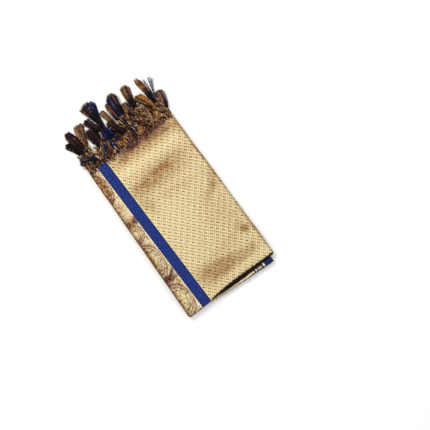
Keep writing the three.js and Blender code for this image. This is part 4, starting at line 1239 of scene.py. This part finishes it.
# The loose yarns of every layer's cut end: plied cords in three tiers. The first lies on the cloth's own
# edge and falls over it, the second leaves the edge, and the third lies further out. Neighbours form
# bundles, which share their colours and run the same slantwise way, and the bundles overlap.
def addRootYarns(material):
    count = fringe["rootCords"]
    share = (np.arange(count) + random.uniform(0.1, 0.9, count)) / count
    x = mix(fringe["rootFrom"], fringe["rootTo"], share)
    tier = random.choice([0, 0, 1, 1, 2, 2], count)
    overBand = (x > fringe["bandFrom"]) & (x < fringe["bandTo"])
    tier = np.where((tier == 0) & overBand, 1, tier)  # the band stays clear
    level = random.uniform(0, 1, count)
    end = fold["fringeEnd"]
    onCloth = end - fringe["ontoCloth"] * random.uniform(0.1, 1, count) ** 2.4
    y = np.choose(tier, [onCloth, np.full(count, end + 0.3), end + random.uniform(6, 30, count)])
    bundle = ((x - fringe["rootFrom"]) / fringe["bundleWidth"] + tier * 0.35).astype(int) + 70 * tier
    bundles = bundle.max() + 1
    bundleLean = random.normal(0, 0.3, bundles)
    bundleTone = random.choice(fringe["bundleTones"], bundles)
    bundleLook = random.integers(0, len(fringe["bundleYarns"]), bundles)
    top = clothTop(x, y)
    z = np.choose(tier, [top + 0.6, mix(2.2, top - 1.0, level), mix(2.0, 9.0, level)])
    reachX, reachY = np.array(fringe["reachLine"], dtype=float).T
    room = np.maximum(np.interp(x, reachX, reachY) - y, 12)
    overEdge = end - y + random.uniform(8, 26, count)
    length = np.choose(tier, [overEdge, room * random.uniform(0.6, 1.05, count),
                              room * random.uniform(0.75, 1.05, count)])
    lean = bundleLean[bundle] + random.normal(0, 0.12, count) + 0.2 * np.sin(x / 17)
    endX = np.clip(x + lean * length, fringe["endFrom"], fringe["endTo"])
    starts = placed(x, y, z)
    ends = placed(endX, y + np.minimum(length, room), mix(1.9, 6.5, level * random.uniform(0.3, 1, count)))
    looks = np.stack([paletteAt(names, random.uniform(0, 1, count)) for names in fringe["bundleYarns"]])
    tone = (bundleTone[bundle] * random.uniform(0.6, 1.3, count))[:, None]
    bright = looks[bundleLook[bundle], np.arange(count)] * tone
    dark = cordDyes(fringe["darkYarns"], count, [0.4, 0.8, 1.3])
    cords = pliedCords(starts, ends, random.uniform(0, 2.2, (count, 1)), bright, dark)
    way = np.linspace(0, 1, fringe["cordPoints"])[None, :] * np.linalg.norm(ends - starts, axis=-1)[:, None]
    # painted highlight and shade along each cord's crimp
    crests = crimpTones(way, bundle)[..., None]
    cords = [(path, radii, dyes * crests) for path, radii, dyes in cords]
    cords += [loopHeap(*tuft, [0.5, 1.0, 1.5], fringe["tuftPoints"]) for tuft in fringe["tufts"]]
    sets = [(strands, 5) for strands in cords + underCords(reachX, reachY)]
    for start, tip, spread, bow, yarns in fringe["sweeps"]:
        sweep = {"knot": start, "tip": tip, "spread": spread, "neck": 0.6 * spread, "flare": 0.8, "bow": bow,
                 "dyed": 0.0, "neckYarns": yarns, "tipYarns": yarns}
        strands = brushStrands(sweep, fringe["sweepLocks"], fringe["lockRadius"], fringe["tipRadius"], 1.0)
        sets.append((strands, 4))
    obj = yarnObject("root_yarns", sets, material)
    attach(obj, "root")
    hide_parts("under_fringe")
    return obj


def yarnMaterial():
    # Loose crimped silk yarn: deep dyes with a narrow gloss along each thread, darkened between the threads
    # with painted shade in patches of noise.
    material, add = startMaterial("loose_silk_yarn", fringe["plain"])
    place = add("TexCoord").node.outputs["Object"]
    dye = add("Attribute", attribute_name="dye")
    fibres = add("TexNoise", {"Vector": place, "Scale": 900.0, "Detail": 2.0})
    clumps = add("TexNoise", {"Vector": place, "Scale": 210.0, "Detail": 2.0})
    # painted shade between the threads, in patches of noise
    dark = add("MixRGB", (add("MapRange", (clumps, 0.35, 0.62, 0.45, 0.0)), dye, fringe["hollowShade"]))
    colour = add("MixRGB", (add("MapRange", (fibres, 0.35, 0.65, 0.4, 0.0)), dark, fringe["fibres"]),
                 blend_type="MULTIPLY")
    bump = add("Bump", {"Strength": 0.5, "Distance": 0.0003, "Height": fibres})
    yarn = add("BsdfPrincipled", {"Base Color": colour, "Roughness": 0.4, "Specular IOR Level": 0.1,
                                  "Normal": bump})
    add("OutputMaterial", {"Surface": yarn})
    return material


brocadeCloth = brocadeMaterial()
topCloth = addTopStretch(brocadeCloth)
lowerCloth = addLowerStretch(stripedEndMaterial())
layers = addHiddenLayers(layerEdgeMaterial())
print("cloth made:", len(topCloth.data.polygons), len(lowerCloth.data.polygons), len(layers.data.polygons),
      "faces")

yarn = yarnMaterial()
tassels = [addTassel(i + 1, dict(zip(fringe["columns"], row)), yarn) for i, row in enumerate(fringe["rows"])]
rootYarns = addRootYarns(yarn)
print("fringe made:", sum(len(obj.data.polygons) for obj in tassels), len(rootYarns.data.polygons), "faces")
